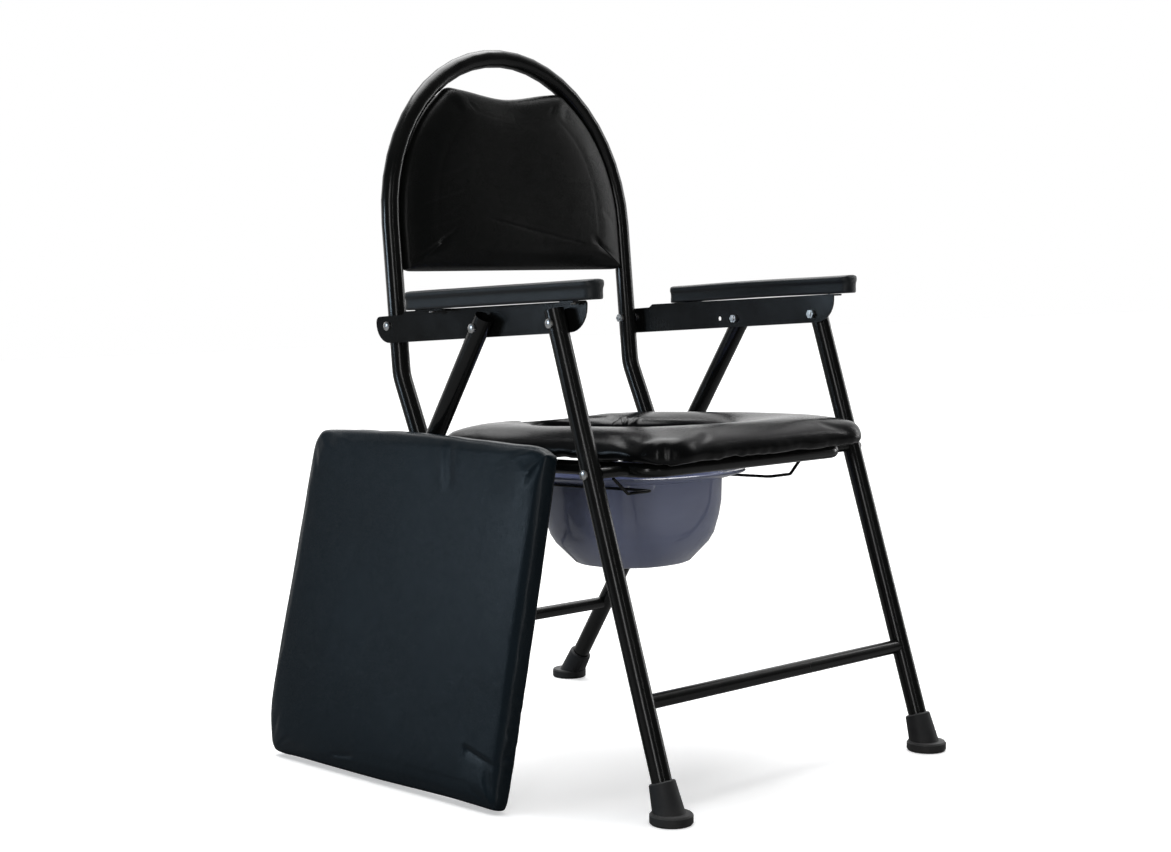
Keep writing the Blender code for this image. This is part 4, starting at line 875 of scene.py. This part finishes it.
# ---- loose cover pad: stands on the floor and leans on the sitter's right side of the chair ----------
COVER_LEAN = math.radians(12.0)
COVER_YAW = math.radians(1.2)
COVER_CROWN = 0.0246
COVER_HEIGHT = 0.4150
COVER_SLACK = 0.0110
COVER_NET = (74, 74)
COVER_SIDE = (
    (0.0085, 0.0), (0.0040, 0.0003), (0.0012, 0.0016), (0.0, 0.0045), (-0.0004, 0.0090), (0.0, 0.0140),
    (0.0010, 0.0168), (0.0034, 0.0194), (0.0080, 0.0211), (0.0150, 0.0221), (0.0260, 0.0229),
)
COVER_CREASES = (
    ((-0.044, 0.4000), (-0.052, 0.3720), 0.0085, 0.0011, 0.014),
    ((0.078, 0.0170), (0.054, 0.0200), 0.0030, 0.0011, 0.008),
)


def cover_frame():
    """Inner-bottom middle, the three axes and the length of the leaning pad, from its CAD node."""
    turn = Euler((0.0, 0.0, COVER_YAW)).to_matrix()
    outward = turn @ Vector((-math.cos(COVER_LEAN), 0.0, math.sin(COVER_LEAN)))
    up = turn @ Vector((math.sin(COVER_LEAN), 0.0, math.cos(COVER_LEAN)))
    along = turn @ Vector((0.0, 1.0, 0.0))
    points = np.array([v.co for v in NODES["cover_cushion"].data.vertices], float)
    levels = [points @ np.array(axis) for axis in (outward, up, along)]
    middle = (levels[2].min() + levels[2].max()) / 2.0
    origin = outward * levels[0].min() + up * levels[1].min() + along * middle
    return origin, outward, up, along, float(levels[2].max() - levels[2].min())


def cover_outline(half):
    """Outline of the loose pad as (along, up): nearly square, with a slack rear side and a domed top."""
    slack = COVER_SLACK
    return (
        (-half + 0.013, 0.0002), (-half * 0.5, 0.0012), (0.0, 0.0), (half * 0.5, 0.0005),
        (half - 0.016, 0.0012), (half - 0.003, 0.0050), (half + 0.005, 0.015), (half + slack * 1.55, 0.060),
        (half + slack * 1.58, 0.130), (half + slack * 1.40, 0.210), (half + slack * 1.16, 0.300),
        (half + slack * 1.05, 0.360),
        (half + 0.0085, 0.393), (half + 0.0035, 0.4050), (half - 0.008, 0.4140), (half - 0.060, 0.4175),
        (half * 0.35, 0.4200), (0.0, 0.4208), (-half * 0.30, 0.4195), (-half * 0.62, 0.4180),
        (-half * 0.85, 0.4170), (-half + 0.014, 0.4140), (-half + 0.004, 0.4085), (-half, 0.3980),
        (-half - 0.0008, 0.300), (-half - 0.0012, 0.200), (-half - 0.0006, 0.100), (-half, 0.014),
        (-half + 0.004, 0.0045),
    )


def cover_pad():
    """Loose padded cover that stands on the floor, with pulled folds, a dent and puckers at its edge."""
    origin, outward, up, along, length = cover_frame()
    half = length / 2.0
    dense = curve_through(cover_outline(half), DENSE_POINTS, True)
    ends = ((-half, 0.0), (half, 0.0), (half, COVER_HEIGHT), (-half, COVER_HEIGHT))
    outline = four_sided(dense, ends, *COVER_NET)

    def place(y, v, depth):
        return origin + along * y + up * v + outward * depth

    made, held = padded_board("cover_pad", outline, COVER_NET, COVER_SIDE, COVER_CROWN, place, COVER_VINYL)
    inflate(made, held, pressure=0.8, cap=0.0010)
    subdivide(made, 1)
    values = coordinates(made)
    normals = vertex_normals(made)
    offset = values - np.array(origin)
    y = offset @ np.array(along)
    v = offset @ np.array(up)
    depth = offset @ np.array(outward)
    flat = np.stack([y, v], axis=1)
    facing = np.clip((normals @ np.array(outward) - 0.4) / 0.4, 0.0, 1.0)
    rise = 0.0005 * facing * wavy(values, 6.0, 7.7) + 0.0001 * facing * wavy(values, 20.0, 2.9)
    edge = 1.0 - facing
    free = np.clip(depth / 0.006, 0.0, 1.0) * np.clip(v / 0.02, 0.0, 1.0)
    rise += 0.0003 * edge * free * wavy(values, 40.0, 9.1)
    front_low = bell(y + half, 0.030) * bell(v - 0.085, 0.060)
    rise += 0.0009 * edge * front_low * free * wavy(values, 110.0, 1.2)
    for start, end, width, depth_down, fade in COVER_CREASES:
        rise += facing * crease(flat, start, end, width, depth_down, fade)
    _, share, below = line_bell(flat, (-0.200, 0.050), (-0.152, 0.063), 0.0040, 0.010)
    along_dent = bell(np.maximum(np.maximum(-share, share - 1.0), 0.0) * 0.05, 0.006)
    tucked = np.where(below < 0.0, np.exp(below / 0.011), bell(below, 0.0016))
    rise -= facing * 0.0026 * along_dent * tucked * np.clip(share * 1.6 + 0.2, 0.0, 1.0)
    shoulder = bell(y + 0.175, 0.035) * bell(v - 0.385, 0.035)
    rise += 0.0020 * facing * shoulder
    set_coordinates(made, values + normals * rise[:, None])
    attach(made, "cover")
    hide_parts("cover_cushion")


seat_ring()
backrest()
for pad_side in ("left", "right"):
    arm_pad(pad_side)
cover_pad()


# ---- floor, light and camera -------------------------------------------------------------------------
FLOOR_CORNERS = ((-14.0, -14.0, 0.0), (18.0, -14.0, 0.0), (18.0, 9.0, 0.0), (-14.0, 9.0, 0.0))
BRIGHT_SIDE = (0.70, 0.70, 0.15)
WORLD_DIM = 0.045
WORLD_BRIGHT = 1.0


def pale_floor():
    """White floor as the camera sees it, which throws only a little light back on the object."""
    g = Graph("pale_studio_floor")
    grain = g.noise(30.0, 4.0)
    colour = g.mix(g.remap(grain, 0.3, 0.7, 0.0, 1.0), grey(0.86, 0.86, 0.86), grey(0.89, 0.89, 0.89))
    finish = g.finish(Base_Color=colour, Roughness=0.75, Specular_IOR_Level=0.2,
                      Normal=g.bump(grain, 0.0002, 0.1), Emission_Color=grey(1.0, 1.0, 1.0),
                      Emission_Strength=0.42)
    seen = g.add("ShaderNodeLightPath").outputs["Is Camera Ray"]
    dim = g.add("ShaderNodeBsdfDiffuse", {"Color": grey(0.20, 0.20, 0.20)}).outputs[0]
    both = g.add("ShaderNodeMixShader", {0: seen, 1: dim, 2: g.shader.outputs[0]}).outputs[0]
    g.tree.links.new(both, g.tree.nodes["Material Output"].inputs["Surface"])
    make_object("floor", FLOOR_CORNERS, [(0, 1, 2, 3)], finish)


def soft_world():
    """White surroundings for the camera; the light itself is dim in front and bright behind the object."""
    world = bpy.data.worlds.new("soft_studio")
    world.use_nodes = True
    tree = world.node_tree
    around = tree.nodes["Background"]
    heading = tree.nodes.new("ShaderNodeTexCoord").outputs["Generated"]
    toward = tree.nodes.new("ShaderNodeVectorMath")
    toward.operation = "DOT_PRODUCT"
    toward.inputs[1].default_value = BRIGHT_SIDE
    tree.links.new(heading, toward.inputs[0])
    ramp = tree.nodes.new("ShaderNodeMapRange")
    ramp.interpolation_type = "SMOOTHSTEP"
    limits = {"From Min": 0.15, "From Max": 0.85, "To Min": WORLD_DIM, "To Max": WORLD_BRIGHT}
    for key, value in limits.items():
        ramp.inputs[key].default_value = value
    tree.links.new(toward.outputs["Value"], ramp.inputs["Value"])
    tree.links.new(ramp.outputs["Result"], around.inputs["Strength"])
    seen_world = tree.nodes.new("ShaderNodeBackground")
    seen_world.inputs["Color"].default_value = (1.0, 1.0, 1.0, 1.0)
    around.inputs["Color"].default_value = (1.0, 1.0, 1.0, 1.0)
    mixed = tree.nodes.new("ShaderNodeMixShader")
    tree.links.new(tree.nodes.new("ShaderNodeLightPath").outputs["Is Camera Ray"], mixed.inputs[0])
    tree.links.new(around.outputs[0], mixed.inputs[1])
    tree.links.new(seen_world.outputs[0], mixed.inputs[2])
    tree.links.new(mixed.outputs[0], tree.nodes["World Output"].inputs["Surface"])
    SCENE.world = world


def area_light(name, place, target, size, watts, tint=(1.0, 1.0, 1.0)):
    """Flat rectangular light at a place, turned to its target."""
    light = bpy.data.lights.new(name, "AREA")
    light.shape = "RECTANGLE"
    light.size, light.size_y = size
    light.energy = watts
    light.color = tint
    lamp = bpy.data.objects.new(name, light)
    SCENE.collection.objects.link(lamp)
    lamp.location = place
    lamp.rotation_euler = (Vector(target) - Vector(place)).to_track_quat("-Z", "Y").to_euler()


def sky_light(toward, spread, strength):
    """Very soft light from above that reaches the whole floor evenly."""
    light = bpy.data.lights.new("sky", "SUN")
    light.energy = strength
    light.angle = math.radians(spread)
    lamp = bpy.data.objects.new("sky", light)
    SCENE.collection.objects.link(lamp)
    lamp.rotation_euler = Vector(toward).to_track_quat("Z", "Y").to_euler()


CAMERA_LENS = 63.092
# its x counts from MIDDLE
CAMERA_PLACE = (-1.882483, -1.847193, 0.634410)
CAMERA_TURN = (85.1357, 0.1234, -44.7964)


def camera():
    """Camera at the photograph's viewing angle, ahead of the chair on the sitter's right."""
    data = bpy.data.cameras.new("camera")
    data.lens = CAMERA_LENS
    data.sensor_width = 36.0
    eye = bpy.data.objects.new("camera", data)
    SCENE.collection.objects.link(eye)
    eye.location = (MIDDLE + CAMERA_PLACE[0], CAMERA_PLACE[1], CAMERA_PLACE[2])
    eye.rotation_euler = Euler([math.radians(angle) for angle in CAMERA_TURN])
    SCENE.camera = eye


pale_floor()
soft_world()
area_light("overhead", (0.3, 0.6, 3.2), (0.1, 0.2, 0.0), size=(2.6, 2.6), watts=40.0)
area_light("side_left", (-2.25, -1.45, 1.0), (0.0, 0.0, 0.5), size=(0.40, 1.9), watts=11.0)
area_light("side_right", (2.7, -0.7, 1.1), (0.0, 0.0, 0.5), size=(0.30, 1.9), watts=9.0)
area_light("cover_glow", (-2.05, 1.32, 0.82), (-0.26, -0.13, 0.37), size=(0.42, 0.55), watts=8.0,
           tint=(0.68, 0.84, 1.0))
area_light("near_strip", (-0.75, -2.80, 1.0), (0.0, 0.0, 0.5), size=(0.07, 2.0), watts=2.2)
sky_light(toward=(0.25, 0.35, 1.0), spread=60.0, strength=2.5)
camera()
SCENE.view_settings.view_transform = "Standard"
